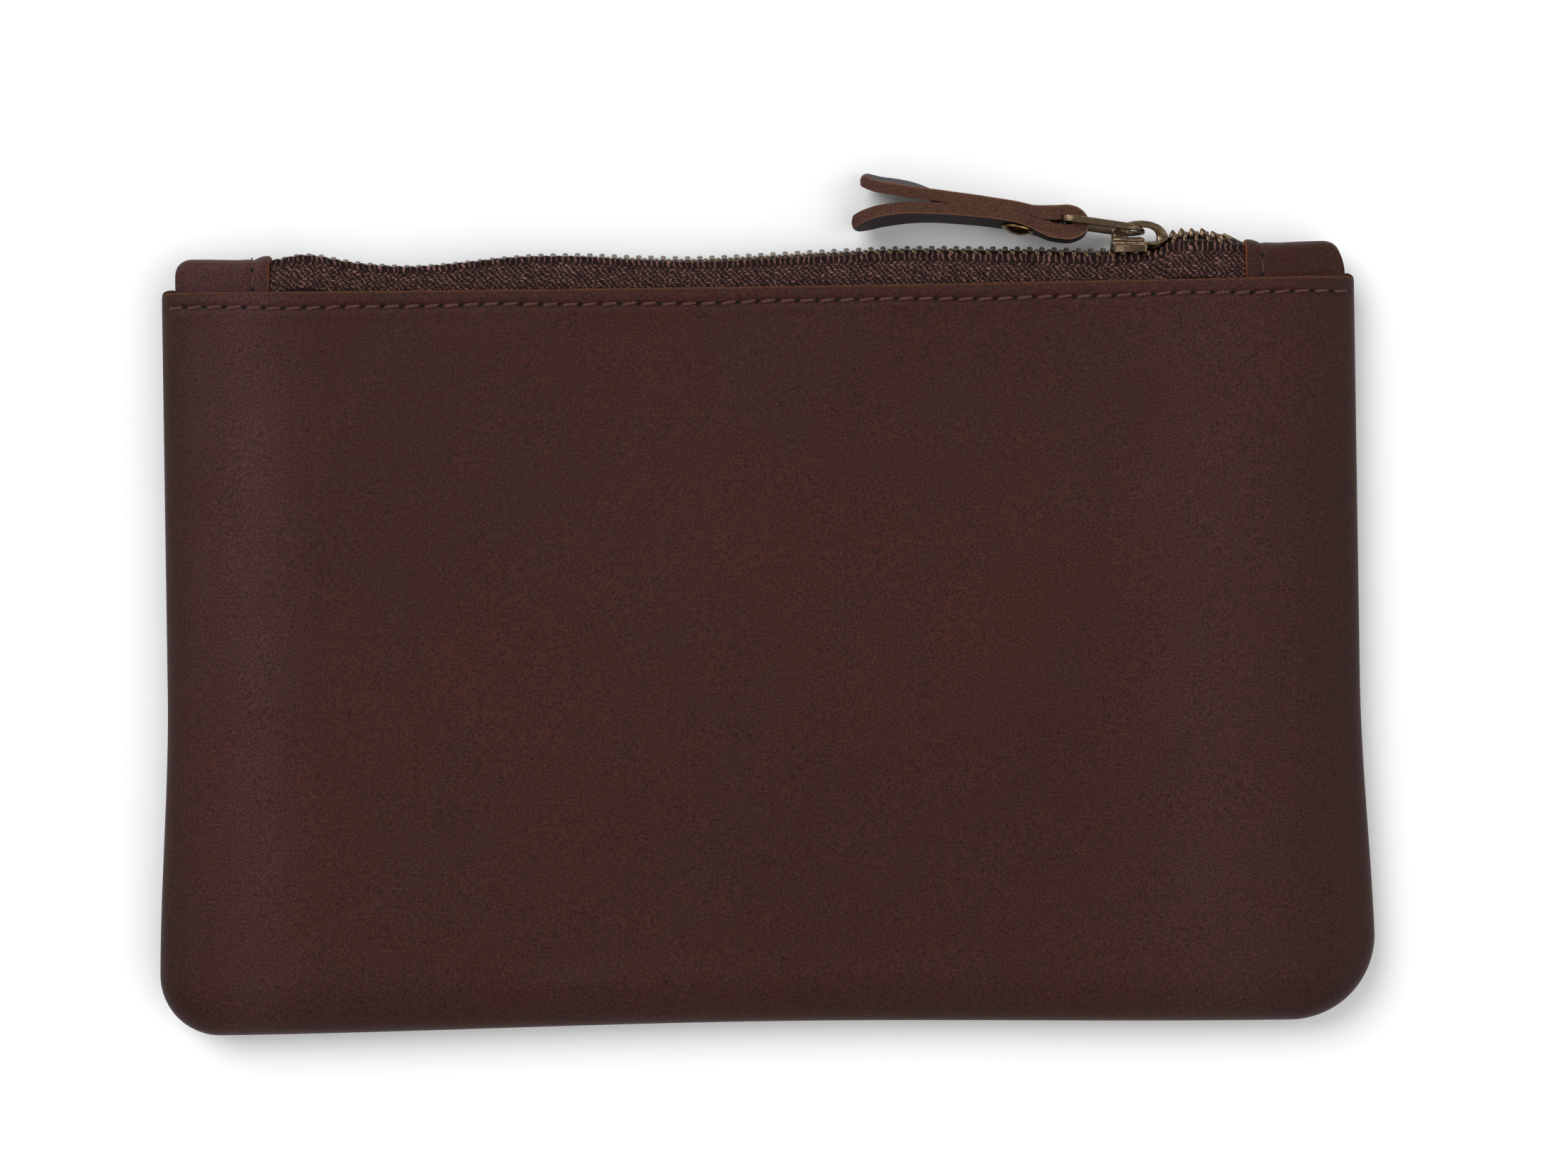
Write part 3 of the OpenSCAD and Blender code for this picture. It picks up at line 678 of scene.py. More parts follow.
def ridge(x):
    """How far the soft chain waves in and out of the straight line, along the mouth."""
    return np.interp(x, WAVE[:, 0], WAVE[:, 1])


def parted(x):
    """How far each row has moved sideways from the closed chain, past the slider."""
    run = x - SLIDER_X
    return 1.9 * smooth((run - 5.1) / 4.5) * (1 - 0.45 * smooth((run - 11.8) / 12))


def arched(x):
    """How much of the arch past the slider has risen, from 0 to 1: there the open rows stand up."""
    return smooth((x - SLIDER_X - 9.6) / 5) * (1 - smooth((x - SLIDER_X - 18.8) / 7))


def foot(x, side):
    """Height of a standing tooth's foot: the back row stands higher, behind the front row."""
    return LIP + (5.6 + 0.75 * arched(x) if side > 0 else 6.35 + 1.75 * arched(x))


def chain_point(x, y, z, side):
    """A point of one row, from its place in the closed, straight chain: y is outwards, z to the front."""
    out, up = turned(y, z + side * parted(x), CHAIN_LEAN)
    return np.stack([x + 0 * z, CHAIN_Y + ridge(x) + out, MID_Z + up], -1)


def closed_tooth(x, side):
    """One closed tooth: a rounded head past the centre line, a waist, and jaws that clamp the tape."""
    stations = [(-0.72, 0.28, 0.4), (-0.66, 0.42, 0.58), (-0.2, 0.46, 0.66), (0.5, 0.44, 0.66),
                (0.85, 0.46, 0.68), (1.1, 0.54, 0.76), (1.5, 0.6, 0.82), (2.3, 0.6, 0.82),
                (2.6, 0.54, 0.75), (2.76, 0.34, 0.5)]
    rings, small = [], 1 - 0.35 * float(smooth((x - SLIDER_X - 7) / 1.5))
    for z, rx, ry in stations:
        flat = superellipse(rx * small, ry * small, 3.2)
        ring = chain_point(np.full(len(flat), x), flat[:, 1], np.full(len(flat), side * z), side)
        ring[:, 0] += flat[:, 0]
        rings.append(ring)
    return loft(rings)


def standing(x, y, z, stations, lean):
    """A leaning solid from stations of height, half width, half depth and sideways shift."""
    rings = []
    for h, rx, rz, dx in stations:
        flat = superellipse(rx, rz, 3.2)
        across, up = turned(flat[:, 0] + dx, h, -lean)
        rings.append(np.column_stack([x + across, y + up, z + flat[:, 1]]))
    return loft(rings)


# an open tooth of the front row, one of the back row, and where the back row's stand past the slider
BAR = [(-0.1, 0.34, 0.6, 0), (0.0, 0.5, 0.78, 0), (0.6, 0.5, 0.8, 0), (0.85, 0.42, 0.62, 0),
       (1.45, 0.38, 0.55, 0.03), (1.7, 0.44, 0.66, 0.05), (1.98, 0.42, 0.6, 0.05),
       (2.12, 0.26, 0.38, 0.05)]
HORN = [(-0.9, 0.9, 0.55, 0.1), (-0.3, 1.05, 0.7, 0.15), (0.2, 0.95, 0.66, 0.1), (0.55, 0.7, 0.55, -0.02),
        (0.85, 0.48, 0.42, -0.12), (1.12, 0.28, 0.28, -0.2), (1.3, 0.1, 0.12, -0.24)]
OPEN_BACK = (13.2, 15.0, 17.1, 19.25, 21.4, 23.1, 24.8)


def tooth_mesh(x, side):
    if x < SLIDER_X + 11.4:
        return closed_tooth(x, side)
    if side > 0:
        return standing(x, foot(x, 1), MID_Z + 2.3, BAR, math.radians(-5.5 * (x - SLIDER_X - 17.5)))
    return standing(x, foot(x, -1), MID_Z - 0.9, HORN, math.radians(-2.5 * (x - SLIDER_X - 17)))


TOOTH_X0 = 1.2 - TAB_X
TOOTH_COUNT = int((2 * TAB_X - 5.5) / PITCH) + 1


def teeth_piece(name, side, keep):
    spots = [TOOTH_X0 + (k + (0 if side > 0 else 0.5)) * PITCH for k in range(TOOTH_COUNT)]
    if side < 0:
        spots = [x for x in spots if x < SLIDER_X + 11] + [SLIDER_X + run for run in OPEN_BACK]
    return add_mesh(name, *merge([tooth_mesh(x, side) for x in spots if keep(x)]), TEETH_MAT, sharp=60)


def weave(x, u, tall):
    """Height of the tape's yarns, 0 to 1: upright loops along the chain and rows of short knots below."""
    x = x + 0.16 * wavy(x, u, 3.2, 31) + 0.10 * wavy(x, u, 1.3, 33)
    u = u + 0.09 * wavy(x, u, 2.0, 32)
    patch = 0.8 + 0.2 * wavy(x, u, 1.7, 34)
    t = np.clip((u + 0.7) / (2.1 * tall), 0, 1)
    bars = smooth((np.cos(2 * math.pi * (x + 0.2 * np.sin(math.pi * t)) / 1.16) - 0.25) / 0.7)
    height = 0.78 * bars * np.sin(math.pi * t) ** 0.35
    for row in range(10):
        level = 0.25 + 1.45 * tall + 0.52 * row
        xx = (x + (0, 0.61, 0.22, 0.93, 0.4)[row % 5]) % 1.16 - 0.58
        slope = (-0.42, 0.3, -0.15, 0.5)[row % 4]
        knot = bell(u, level + slope * xx, 0.17) * smooth((0.46 - np.abs(xx)) / 0.2)
        height = np.maximum(height, knot * (0.8 + 0.2 * np.sin(3.1 * row + 2.1 * x)))
    return np.clip(height * patch, 0, 1)


def tape_piece(name, side, x0, x1, step):
    """One tape, or part of it: from the chain over its shoulder and down behind the leather."""
    xs = np.linspace(x0, x1, int((x1 - x0) / step) + 1)
    open_z, bend, feet, spread = HALF - LEATHER - 0.25, LIP - 2.4, foot(xs, side), parted(xs)
    up = smooth((xs - SLIDER_X - 8.5) / 3.5)
    rise = np.interp(xs, [-52, -38, -12, 20, 60], [0.6, 0.35, -0.25, -0.6, -0.9])
    bumps = 0.12 * np.cos(2 * math.pi * (xs - TOOTH_X0) / PITCH) * np.interp(xs, [-55, -5], [1, 0])
    chain = CHAIN_Y + ridge(xs)
    if side > 0:
        cover = (chain + rise + bumps) * (1 - up) + (feet + 0.05) * up
        top = np.maximum(chain + 0.1, cover + 0.1) * (1 - up) + (feet + 0.7) * up
    else:
        cover = (chain - 0.6) * (1 - up) + (feet - 1.0) * up
        top = (chain + 0.35) * (1 - up) + (feet + 0.15) * up
    crest, shoulder = 1.35 + 0.3 * spread, 2.98 + 0.25 * spread
    ys, zs = [], []
    for t in np.linspace(0, 1, 7):
        ys.append(top + (cover - 0.2 - top) * t)
        zs.append(crest + (shoulder - crest) * smooth(t * 1.1) ** 0.8)
    for t in np.linspace(0, 1, 38)[1:]:
        ys.append(cover - 0.2 + (bend - cover + 0.2) * t)
        zs.append(shoulder + (open_z - shoulder) * smooth(t * 1.1) + 0.22 * np.sin(math.pi * t))
    for t in (0.15, 0.4, 0.7, 1.0):
        ys.append(bend - 6.1 * t + 0 * xs)
        zs.append(open_z + 0 * xs)
    y, z = np.array(ys), np.array(zs)
    x = np.repeat(xs[None], len(y), 0)
    height = weave(x, cover[None] - y, 1 + 0.35 * arched(xs)[None])
    tuck = smooth((y - (LIP - 3.0)) / 0.8)
    skins = z + (0.26 * height - 0.08) * tuck, z - 0.45 - 0.1 * height * tuck
    nr, nx = x.shape
    base = nr * nx
    faces = grid_faces(nr, nx) + grid_faces(nr, nx, base, True)
    around = list(range(nx)) + [j * nx + nx - 1 for j in range(1, nr)]
    around += [(nr - 1) * nx + i for i in range(nx - 2, -1, -1)] + [j * nx for j in range(nr - 2, -1, -1)]
    faces += strip_faces(around, [base + a for a in around])
    verts = np.concatenate([np.stack([x, y, MID_Z + side * skin], -1).reshape(-1, 3) for skin in skins])
    return add_mesh(name, verts, faces, TAPE_MAT, yarn=np.tile(height.ravel(), 2))


EDGE = TAB_X - 0.2
for side, name, keep in SIDES:
    stand_in(teeth_piece("front_teeth_" + name, 1, keep), "front_teeth", side=side)
    piece = tape_piece("front_tape_" + name, 1, *((-EDGE, 0) if side < 0 else (0, EDGE)), 0.16)
    stand_in(piece, "front_tape", side=side)
stand_in(teeth_piece("back_teeth_row", -1, lambda x: True), "back_teeth", "pouch_back")
stand_in(tape_piece("back_tape_run", -1, -EDGE, EDGE, 0.3), "back_tape", "pouch_back")

STOP = [(0, 0.3, 0.6, 0), (0.12, 0.42, 0.8, 0), (1.6, 0.42, 0.8, 0), (1.75, 0.28, 0.55, 0)]
x = TAB_X - 2.7
verts, faces = standing(x, foot(x, 1) + 0.1, MID_Z + 2.3, STOP, math.radians(-36))
stand_in(add_mesh("front_top_clamp", verts, faces, BRASS_MAT), "front_top_stop", side=1)
CLAMP = [(0, 0.3, 0.5, 0), (0.15, 0.4, 0.7, 0), (3.9, 0.4, 0.7, 0), (4.1, 0.25, 0.5, 0)]
verts, faces = standing(TAB_X - 0.4, LIP + 6.1, MID_Z - 0.8, CLAMP, math.radians(-62))
piece = add_mesh("back_top_clamp", verts, faces, BRASS_MAT)
stand_in(piece, "back_top_stop", "pouch_back")


# ---- end tabs ----

TAB_LOW = LIP - 12.0
TAB_LEN = TAB_HI[0] - TAB_X


def tab_ring(d, high, bulge):
    """The fold's cross-section at d from the inner edge: its outer skin, then its inner one backwards."""
    half = 4.0 - 0.85 * smooth((d - 9) / 8)
    top = high + np.interp(d, [0, 0.5, 1.4, 3.2, 6, 12, TAB_LEN - 3.1],
                           [-0.2, 0, -0.1, -0.65, -0.75, -0.55, -0.5])
    e = max(0.0, d - (TAB_LEN - 3.1)) / 3.1
    top = top - 2.3 * (1 - math.sqrt(max(0.0, 1 - e * e)))
    skins = []
    for inset in (0.0, 1.15):
        h, t = half - inset, top - inset
        side_y = np.linspace(TAB_LOW, t - 0.62 * h, 22)
        a = np.radians(np.linspace(-90, 90, 19))
        y = np.concatenate([side_y[:-1], t - 0.62 * h * (1 - np.cos(a)), side_y[-2::-1]])
        z = np.concatenate([np.full(21, -h), h * np.sin(a), np.full(21, h)])
        if inset == 0:
            seam = bell(d, 3.3, 0.45) * 0.32 - 0.16 * bell(d, 1.7, 1.1) - 0.12 * bell(d, 5.0, 1.2)
            z = z * (1 - (seam - bulge * 0.12 * math.sin(d / 3)) / h)
            y = y - 0.4 * seam * smooth((y - (t - 1.5)) / 1.5)
        skins.append((y, z))
    return [np.concatenate([skins[0][k], skins[1][k][::-1]]) for k in (0, 1)]


def tab_piece(name, side, high, flare):
    stops = np.concatenate([[0, 0.08, 0.25], np.linspace(0.5, TAB_LEN - 3.1, 38),
                            TAB_LEN - 3.1 + 3.1 * np.sin(np.radians(np.linspace(8, 84, 11)))])
    rings = []
    for k, d in enumerate(stops):
        y, z = tab_ring(d, high, 1)
        if k < 2:
            mid = len(y) // 2
            centre_y, centre_z = (y[:mid] + y[mid:][::-1]) / 2, (z[:mid] + z[mid:][::-1]) / 2
            pinch = (0.78, 0.94)[k]
            for value, centre in ((y, centre_y), (z, centre_z)):
                value[:mid] = centre + (value[:mid] - centre) * pinch
                value[mid:] = centre[::-1] + (value[mid:] - centre[::-1]) * pinch
        x = TAB_X + d + flare * smooth((LIP + 5 - y) / 5) * (d / TAB_LEN) ** 3
        rings.append(np.column_stack([side * x, y, MID_Z + z]))
    rings = np.array(rings)
    n, m = rings.shape[:2]
    verts, faces = loft(rings)
    faces = faces[:-2]    # quads close the fold's ends in place of the two caps
    for a in (0, (n - 1) * m):
        faces += [[a + i, a + i + 1, a + m - 2 - i, a + m - 1 - i] for i in range(m // 2 - 1)]
    d = np.repeat(stops, m)
    skin = np.tile(np.arange(m) < m // 2, n)
    y = rings[:, :, 1].ravel()
    cut = np.where(skin, 0.9 * (1 - smooth((d - 0.05) / 0.3)), 1.0)
    tan = np.where(d < 0.2, 0.75 if side > 0 else 0.3, 0.0)
    row = np.column_stack([(y - LIP - 3.45) / 1000, (d - 3.3) / 1000, skin * 0.001])
    # the left tab gets painted sheen and the right one painted shade, as the light falls from the left
    return add_mesh(name, verts, faces, LEATHER_MAT, cut=cut, tan=tan, sew=row,
                    pull=np.full(len(d), 0.6 if side < 0 else 0.0),
                    shade=np.full(len(d), 0.0 if side < 0 else 0.15))


def tab_stitch_piece(name, side):
    parts = []
    for face in (-1, 1):
        for k in range(-4, 1):
            y0 = LIP + 3.8 + k * STITCH
            y1 = min(y0 + STITCH - 0.7, LIP + 6.0)
            lean = 0.22 * (-1) ** k
            z = MID_Z + face * 3.76
            ends = ((side * (TAB_X + 3.3 - lean), y0, z),
                    (side * (TAB_X + 3.3 + lean), y1, z - face * (0.9 if k == 0 else 0)))
            parts.append(stitch_mesh(*ends, (0, 0, face), 0.03, 0.22))
    return add_mesh(name, *merge(parts), THREAD_MAT)


for side, name, high, flare in ((-1, "left", LIP + 6.5, 0.0), (1, "right", LIP + 6.9, 0.9)):
    piece = tab_piece(name + "_tab_fold", side, high, flare)
    stand_in(piece, name + "_end_tab", "pouch_back")
    piece = tab_stitch_piece(name + "_tab_seam", side)
    stand_in(piece, name + "_tab_stitches", "pouch_back")


# ---- slider ----

def slider_point(p):
    """From the chain's own frame, which leans about the chain's centre line."""
    y, z = turned(p[:, 1], p[:, 2], TILT)
    return np.column_stack([p[:, 0], CHAIN_Y + y, MID_Z + z])


def bar_along_x(stations, power, count):
    """A solid through stations of x, middle height, middle depth, half height and half depth."""
    rings = []
    for x, y, z, ry, rz in stations:
        flat = superellipse(rz, ry, power, count)
        rings.append(slider_point(np.column_stack([np.full(count, x), y + flat[:, 1], z + flat[:, 0]])))
    return loft(rings)


# stations along the slider from its rear: the upper plate's x, height, half depth and half thickness,
# then x, half height and half depth of the flanges, the block on that plate, the lower plate and the wedge
PLATE = [(0.85, 1.6, 3.6, 0.22), (0.95, 1.6, 3.95, 0.3), (1.3, 1.6, 4.1, 0.32), (6.8, 1.6, 4.1, 0.32),
         (7.6, 1.56, 4.3, 0.32), (8.6, 1.5, 4.3, 0.33), (9.6, 1.52, 3.9, 0.33), (10.6, 1.75, 3.3, 0.33),
         (11.5, 2.15, 2.7, 0.32), (12.2, 2.52, 2.1, 0.3), (12.45, 2.66, 1.7, 0.2)]
FLANGE = [(0.95, 0.7, 0.36), (1.03, 0.88, 0.48), (1.25, 0.94, 0.56), (1.5, 0.86, 0.46),
          (6.8, 0.86, 0.46), (7.05, 0.94, 0.56), (7.4, 0.94, 0.56), (7.52, 0.84, 0.46), (7.6, 0.66, 0.36)]
BLOCK = [(1.0, 0.3, 2.9), (1.12, 0.5, 3.3), (1.5, 0.56, 3.45), (6.4, 0.52, 3.45), (7.0, 0.42, 3.2),
         (7.25, 0.2, 2.6)]
LOWER_PLATE = [(0.8, 0.2, 2.6), (0.95, 0.33, 3.0), (8.5, 0.33, 3.1), (10.8, 0.33, 2.5),
               (11.9, 0.3, 1.9), (12.0, 0.18, 1.6)]
WEDGE = [(8.0, 1.7, 0.12), (8.6, 1.7, 0.5), (9.4, 1.7, 0.85), (10.4, 1.7, 0.8), (11.2, 1.7, 0.5),
         (11.5, 1.7, 0.2)]

parts = [bar_along_x([(SLIDER_X + x, y, 0, t, half) for x, y, half, t in PLATE], 7, 40)]
for table, y, z, power, count in ((FLANGE, 0.72, -3.95, 6, 28), (FLANGE, 0.72, 3.95, 6, 28),
                                  (BLOCK, 2.2, 0, 5, 36), (LOWER_PLATE, -1.82, 0, 5, 36),
                                  (WEDGE, 0, 0, 3, 20)):
    parts.append(bar_along_x([(SLIDER_X + x, y, z, ry, rz) for x, ry, rz in table], power, count))
piece = add_mesh("slider_shell", *merge(parts), BRASS_MAT, sharp=45)
stand_in(piece, "slider_body", "slider")

# the crown's outline, outside and inside, from its foot at the nose over the top to the rear post
OUTER = catmull([(12.1, 1.9), (12.05, 2.9), (11.5, 4.0), (10.5, 4.95), (9.1, 5.6), (7.2, 5.95),
                 (5.4, 5.9), (3.8, 5.55), (2.3, 5.0), (1.1, 4.25), (0.85, 3.4), (0.9, 2.2)], 4)
INNER = catmull([(9.75, 1.9), (9.75, 3.0), (9.5, 3.6), (9.0, 4.05), (8.1, 4.45), (6.8, 4.55),
                 (5.6, 4.45), (4.9, 4.2), (4.45, 3.7), (4.2, 3.0), (4.1, 2.2)], 4)


def crown_mesh():
    """A flat bridge over the slider, from its foot at the nose to the broad rear post."""
    rings = []
    for t in np.linspace(0, 1, 60):
        o, i = (np.array([np.interp(t, np.linspace(0, 1, len(line)), line[:, k]) for k in (0, 1)])
                for line in (OUTER, INNER))
        half = 1.1 + 0.45 * float(smooth((t - 0.82) / 0.12)) + 0.3 * float(smooth((0.1 - t) / 0.1))
        flat = superellipse(1, half, 5, 24)
        mid, arm = (o + i) / 2, (o - i) / 2
        x, y = (mid[k] + arm[k] * flat[:, 0] for k in (0, 1))
        rings.append(slider_point(np.column_stack([SLIDER_X + x, y, flat[:, 1]])))
    return loft(rings)


piece = add_mesh("slider_bridge", *crown_mesh(), BRASS_MAT, sharp=45)
stand_in(piece, "slider_crown", "slider")


# ---- link ----

def link_piece():
    run = LOOP_AT - LINK_AT
    length = float(np.linalg.norm(run))
    u = np.array([run[0], run[1], 0]) / length
    v = np.array([-u[1], u[0], 0]) * (1 if u[0] > 0 else -1)
    w = np.array([0, 0, 1.0])
    depth, thick = w * math.cos(LEAN) + v * math.sin(LEAN), v * math.cos(LEAN) - w * math.sin(LEAN)
    nose, corner, knee = 3.2, 1.9, 1.6
    near, far, half = nose - 1.8, length - 0.6 - corner, 3.4
    turn = np.radians(np.linspace(-90, 90, 19))
    path = [(far + corner * math.cos(a), (half - knee) * np.sign(a) + knee * math.sin(a)) for a in turn]
    path += [(far + (near - far) * t, half) for t in np.linspace(0, 1, 26)[1:-1]]
    turn = np.radians(np.linspace(90, 270, 23))
    path += [(near + nose * math.cos(a), half * math.sin(a)) for a in turn]
    path += [(near + (far - near) * t, -half) for t in np.linspace(0, 1, 26)[1:-1]]
    path = np.array(path)
    tangent = np.roll(path, -1, 0) - np.roll(path, 1, 0)
    tangent /= np.linalg.norm(tangent, axis=1)[:, None]
    angle = np.linspace(0, 2 * math.pi, 40, endpoint=False)
    c, s = np.cos(angle), np.sin(angle)
    out, high = (r * np.sign(v) * np.abs(v) ** 0.6 for r, v in ((0.62, c), (0.74, s)))
    groove = 1 - 0.11 * sum(bell(high, level, 0.07) for level in (0.0, 0.36, -0.36))
    rings = []
    for (a, b), (ta, tb) in zip(path, tangent):
        slim = 1 - 0.5 * float(smooth((near - nose + 4.2 - a) / 4.2))
        side = np.array([tb, -ta])
        centre = np.array([LINK_AT[0], LINK_AT[1], MID_Z]) + a * u + b * depth
        outward = side[0] * u + side[1] * depth
        rings.append(centre + (out * groove)[:, None] * outward + (slim * high)[:, None] * thick)
    return add_mesh("pull_link_ring", *loft(rings, closed=True), BRASS_MAT, sharp=60)


stand_in(link_piece(), "pull_link", "link")


# ---- strap and rivet ----

LOOP = LOOP_AT + np.array([0.5, 0.1])
STRAP = catmull([(-39.8, 7.48), (-39.4, 7.34), (-38.7, 7.01), (-37.6, 6.6), (-35.8, 6.11),
                 (-32.9, 5.67), (-30, 5.08), (-27, 4.64), (-24.1, 4.23), (-21.2, 3.79), (-15.3, 2.94),
                 (-9.4, 1.92), (-6.5, 1.39), (-3.6, 1.1), (-1.2, 1.05), (1.1, 1.1), (2.7, 0.5),
                 (3.65, -0.75), (3.5, -1.9), (2.5, -2.6), (1.1, -2.95), (-0.8, -2.75), (-2.4, -2.4),
                 (-3.6, -1.9), (-6.5, -1.01), (-9.4, -0.19), (-15.3, 0.8), (-21.2, 1.48),
                 (-24.1, 1.71), (-27, 1.83), (-30, 1.83), (-32.9, 1.62), (-35.8, 1.24), (-38.7, 0.54),
                 (-40.5, -0.02), (-41.3, -0.34), (-41.7, -0.46)], 6)


def strap_frame(p):
    """The strap leans back about its loop's height."""
    y, z = turned(p[:, 1], p[:, 2], -LEAN)
    return np.column_stack([LOOP[0] + p[:, 0], LOOP[1] + y, MID_Z + z])


def strap_half(x, end):
    """Half the strap's width at x: a rounded tip at "end", full width, and a narrow neck at the loop."""
    d = np.clip((x - end) / 5.5, 0.02, 1)
    tail = 4.8 * (1 - (1 - d) ** 2.4) ** 0.5
    neck = 2.4 + 2.4 * (1 - smooth((x + 10) / 6.5))
    return max(0.4, min(float(tail), float(neck)))


def strap_piece():
    tangent = np.gradient(STRAP, axis=0)
    tangent /= np.linalg.norm(tangent, axis=1)[:, None]
    rings, cut, tan = [], [], []
    turn = int(np.argmax(STRAP[:, 0]))
    across = np.linspace(-1, 1, 11)
    for k, (p, t) in enumerate(zip(STRAP, tangent)):
        upper = k <= turn
        end = STRAP[0] if upper else STRAP[-1]
        half = strap_half(p[0], end[0])
        thick = 1.09 + 0.09 * smooth((-p[0] - 14) / 6) + 0.38 * smooth((p[0] + 7.5) / 5)
        tip = np.linalg.norm(p - end)
        thick = thick * max(0.3, math.sqrt(1 - max(0.0, 1 - (tip + 0.06) / 1.1) ** 2))
        turn_by, start, run = (-17, 19, 12) if upper else (-3, 25, 10)
        twist = math.radians(turn_by) * float(smooth((-p[0] - start) / run))
        normal = np.array([-t[1], t[0]])
        p = p + (0, 4.8 * math.sin(abs(twist)) if upper else 0)
        ring, cuts, tans = [], [], []
        for e in (1, -1):
            for q in across if e > 0 else across[::-1]:
                rough = 0.05 * math.sin(9.7 * k + 4.1 * q * e) * math.sin(2.3 * k + 7 * q)
                edge = 1 - 0.10 * abs(q) ** 8
                ring.append((q * thick * 0.985, e * (half - 0.16 * max(q, 0) ** 8) + e * rough * edge))
                cuts.append(1.0)
                tans.append(0.45 * max(q, 0) ** 8)
            for w in np.linspace(0.93, -0.93, 9) * e:
                ring.append((e * thick, w * half))
                cuts.append(0.0 if e > 0 else 0.85)
                tans.append(0.0)
        ring = np.array(ring)
        nn, ww = turned(ring[:, 0], ring[:, 1], -twist)
        rings.append(strap_frame(np.column_stack([p[0] + nn * normal[0], p[1] + nn * normal[1], ww])))
        cut.append(cuts)
        tan.append(tans)
    verts, faces = loft(rings)
    pull = 0.5 + 0.5 * wavy(verts[:, 0], verts[:, 2], 9, 41)
    return add_mesh("pull_strap_fold", verts, faces, STRAP_MAT, sharp=70, cut=np.array(cut).ravel(),
                    tan=np.array(tan).ravel(), pull=np.clip(pull, 0, 1) * 0.5)


stand_in(strap_piece(), "pull_strap", "pull")

# a rivet cap's profile: radius and height
DOME = [(0.0, 1.3), (0.6, 1.27), (1.2, 1.17), (1.8, 0.99), (2.3, 0.76), (2.7, 0.48), (2.85, 0.4),
        (2.98, 0.42), (3.12, 0.38), (3.22, 0.2), (3.2, 0.0), (3.05, -0.08), (2.6, -0.06)]


def rivet_turn(profile, flip):
    """A turned solid on the rivet's axis, square to the strap: flip turns it to the strap's lower face."""
    count, lift = 56, 2.3
    angle = np.linspace(0, 2 * math.pi, count, endpoint=False)
    rings = []
    for r, h in profile:
        r = max(r, 0.02)
        x, y = turned(r * np.cos(angle), np.full(count, flip * (lift + h)), math.radians(-12))
        rings.append(np.column_stack([x + SLIDER_X - 17.2 - LOOP[0], y + 0.62, r * np.sin(angle)]))
    verts, faces = loft(rings)
    return strap_frame(verts), faces


piece = add_mesh("rivet_lower_cap", *rivet_turn(DOME, -1), RIVET_MAT)
stand_in(piece, "rivet_cap", "pull")
shaft = [(r, 0.25 * h) for r, h in DOME] + [(1.2, -0.06), (1.15, -0.1), (1.15, -3.2), (1.0, -3.3)]
piece = add_mesh("rivet_upper_post", *rivet_turn(shaft, 1), RIVET_MAT)
stand_in(piece, "rivet_post", "pull")


# ---- pieces that keep their CAD shape ----

def finish_cad(name, material, bevel=0.0):
    obj = frame["nodes"][name]
    obj.data.materials.clear()
    obj.data.materials.append(material)
    if bevel:
        weld = obj.modifiers.new("weld", "WELD")
        weld.merge_threshold = TINY
        edge = obj.modifiers.new("edge", "BEVEL")
        edge.width, edge.segments = bevel, 2
        edge.limit_method, edge.angle_limit = "ANGLE", math.radians(35)


def split_copy(cad_name, material):
    """Copies of a CAD node's solids, left and right of the middle, that stand in for it."""
    source = frame["nodes"][cad_name].data
    points = np.array([v.co for v in source.vertices])
    for side, name, _ in SIDES:
        faces = [list(p.vertices) for p in source.polygons]
        faces = [f for f in faces if side * points[f, 0].mean() > 0]
        used = sorted({i for f in faces for i in f})
        place = {old: new for new, old in enumerate(used)}
        mesh = bpy.data.meshes.new(cad_name + "_" + name)
        mesh.from_pydata(points[used].tolist(), [], [[place[i] for i in f] for f in faces])
        mesh.materials.append(material)
        stand_in(placed(mesh.name, mesh), cad_name, side=side)


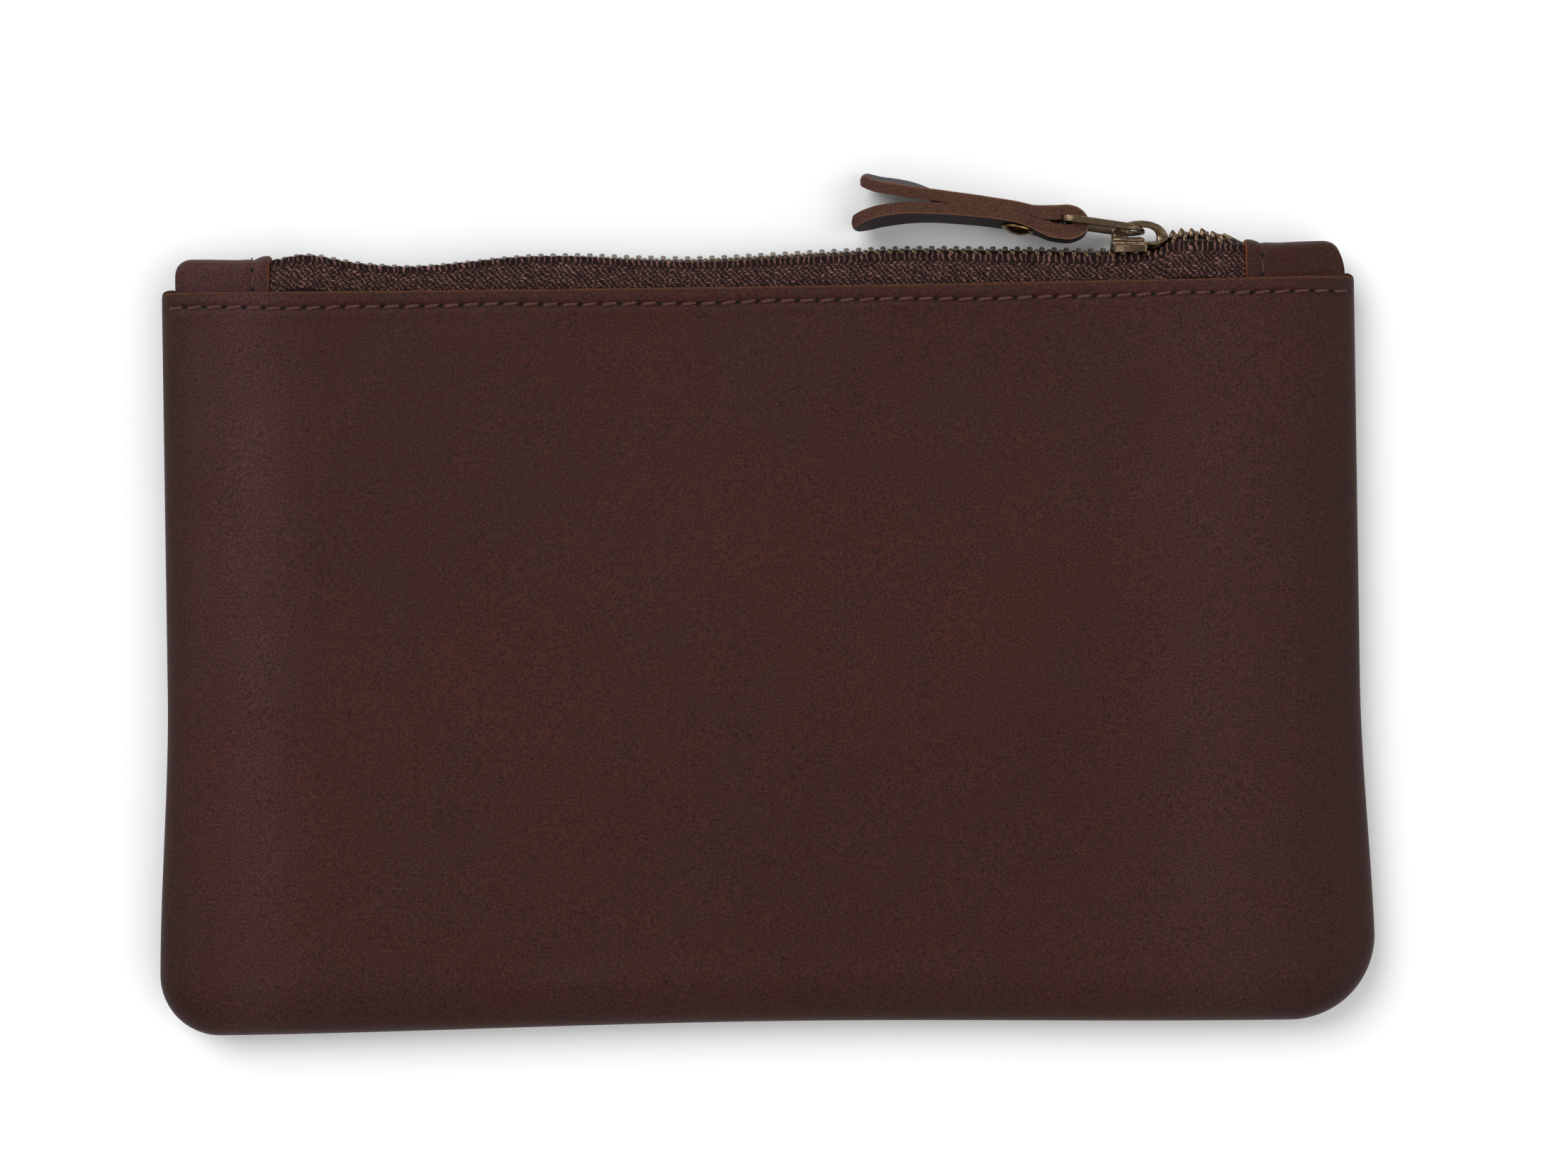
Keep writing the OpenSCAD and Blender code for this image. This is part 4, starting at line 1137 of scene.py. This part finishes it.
split_copy("seam_needle_thread", THREAD_MAT)
finish_cad("seam_bobbin_thread", THREAD_MAT)
finish_cad("bottom_stop", BRASS_MAT, 0.00015)


# ---- floor, lights and camera ----

floor_mat, tree, shader = new_material("floor_paper")
coords = made(tree, "TexCoord", {}, "Object")
tone = ramp(tree, noise(tree, coords, 3.0, 2.0), (0.3, 0.7), (0.95, 0.97))
WHITE = (1, 1, 1, 1)
feed(tree, shader, {"Base Color": mix(tree, 1.0, WHITE, tone, "MULTIPLY"), "Roughness": 0.9})
mesh = bpy.data.meshes.new("floor")
reach, level = 6.0, -0.0001
corners = [(x * reach, y * reach, level) for x, y in ((-1, -1), (1, -1), (1, 1), (-1, 1))]
mesh.from_pydata(corners, [], [(0, 1, 2, 3)])
mesh.materials.append(floor_mat)
floor = placed("floor", mesh)

# A studio with pale walls and a darker ceiling
world = bpy.data.worlds.new("studio")
bpy.context.scene.world = world
world.use_nodes = True
tree = world.node_tree
upward = made(tree, "SeparateXYZ", {0: made(tree, "TexCoord", {}, "Generated")}, "Z")
glow = ramp(tree, upward, (0.0, 0.72), (1.0, 0.36))
feed(tree, tree.nodes["Background"], {"Color": WHITE, "Strength": glow})


def sun(name, place, power, spread, colour=(1, 1, 1)):
    data = bpy.data.lights.new(name, "SUN")
    data.energy, data.angle, data.color = power, math.radians(spread), colour
    obj = placed(name, data)
    obj.rotation_mode = "QUATERNION"
    obj.rotation_quaternion = (-Vector(place)).to_track_quat("-Z", "Y")


sun("key", (-0.7, 0.75, 1.1), 1.95, 45, (0.97, 0.985, 1.0))
sun("fill", (0.8, -0.35, 1.0), 1.0, 60)

cam_data = bpy.data.cameras.new("camera")
cam = placed("camera", cam_data)
cam_data.sensor_width = 36
cam_data.lens = 100
frame_width = 0.3097
cam.location = (0.0043, 0.0131, 0.010 + cam_data.lens / cam_data.sensor_width * frame_width)
cam.rotation_euler = (0, 0, math.radians(-0.85))
bpy.context.scene.camera = cam
bpy.context.scene.view_settings.view_transform = "Standard"
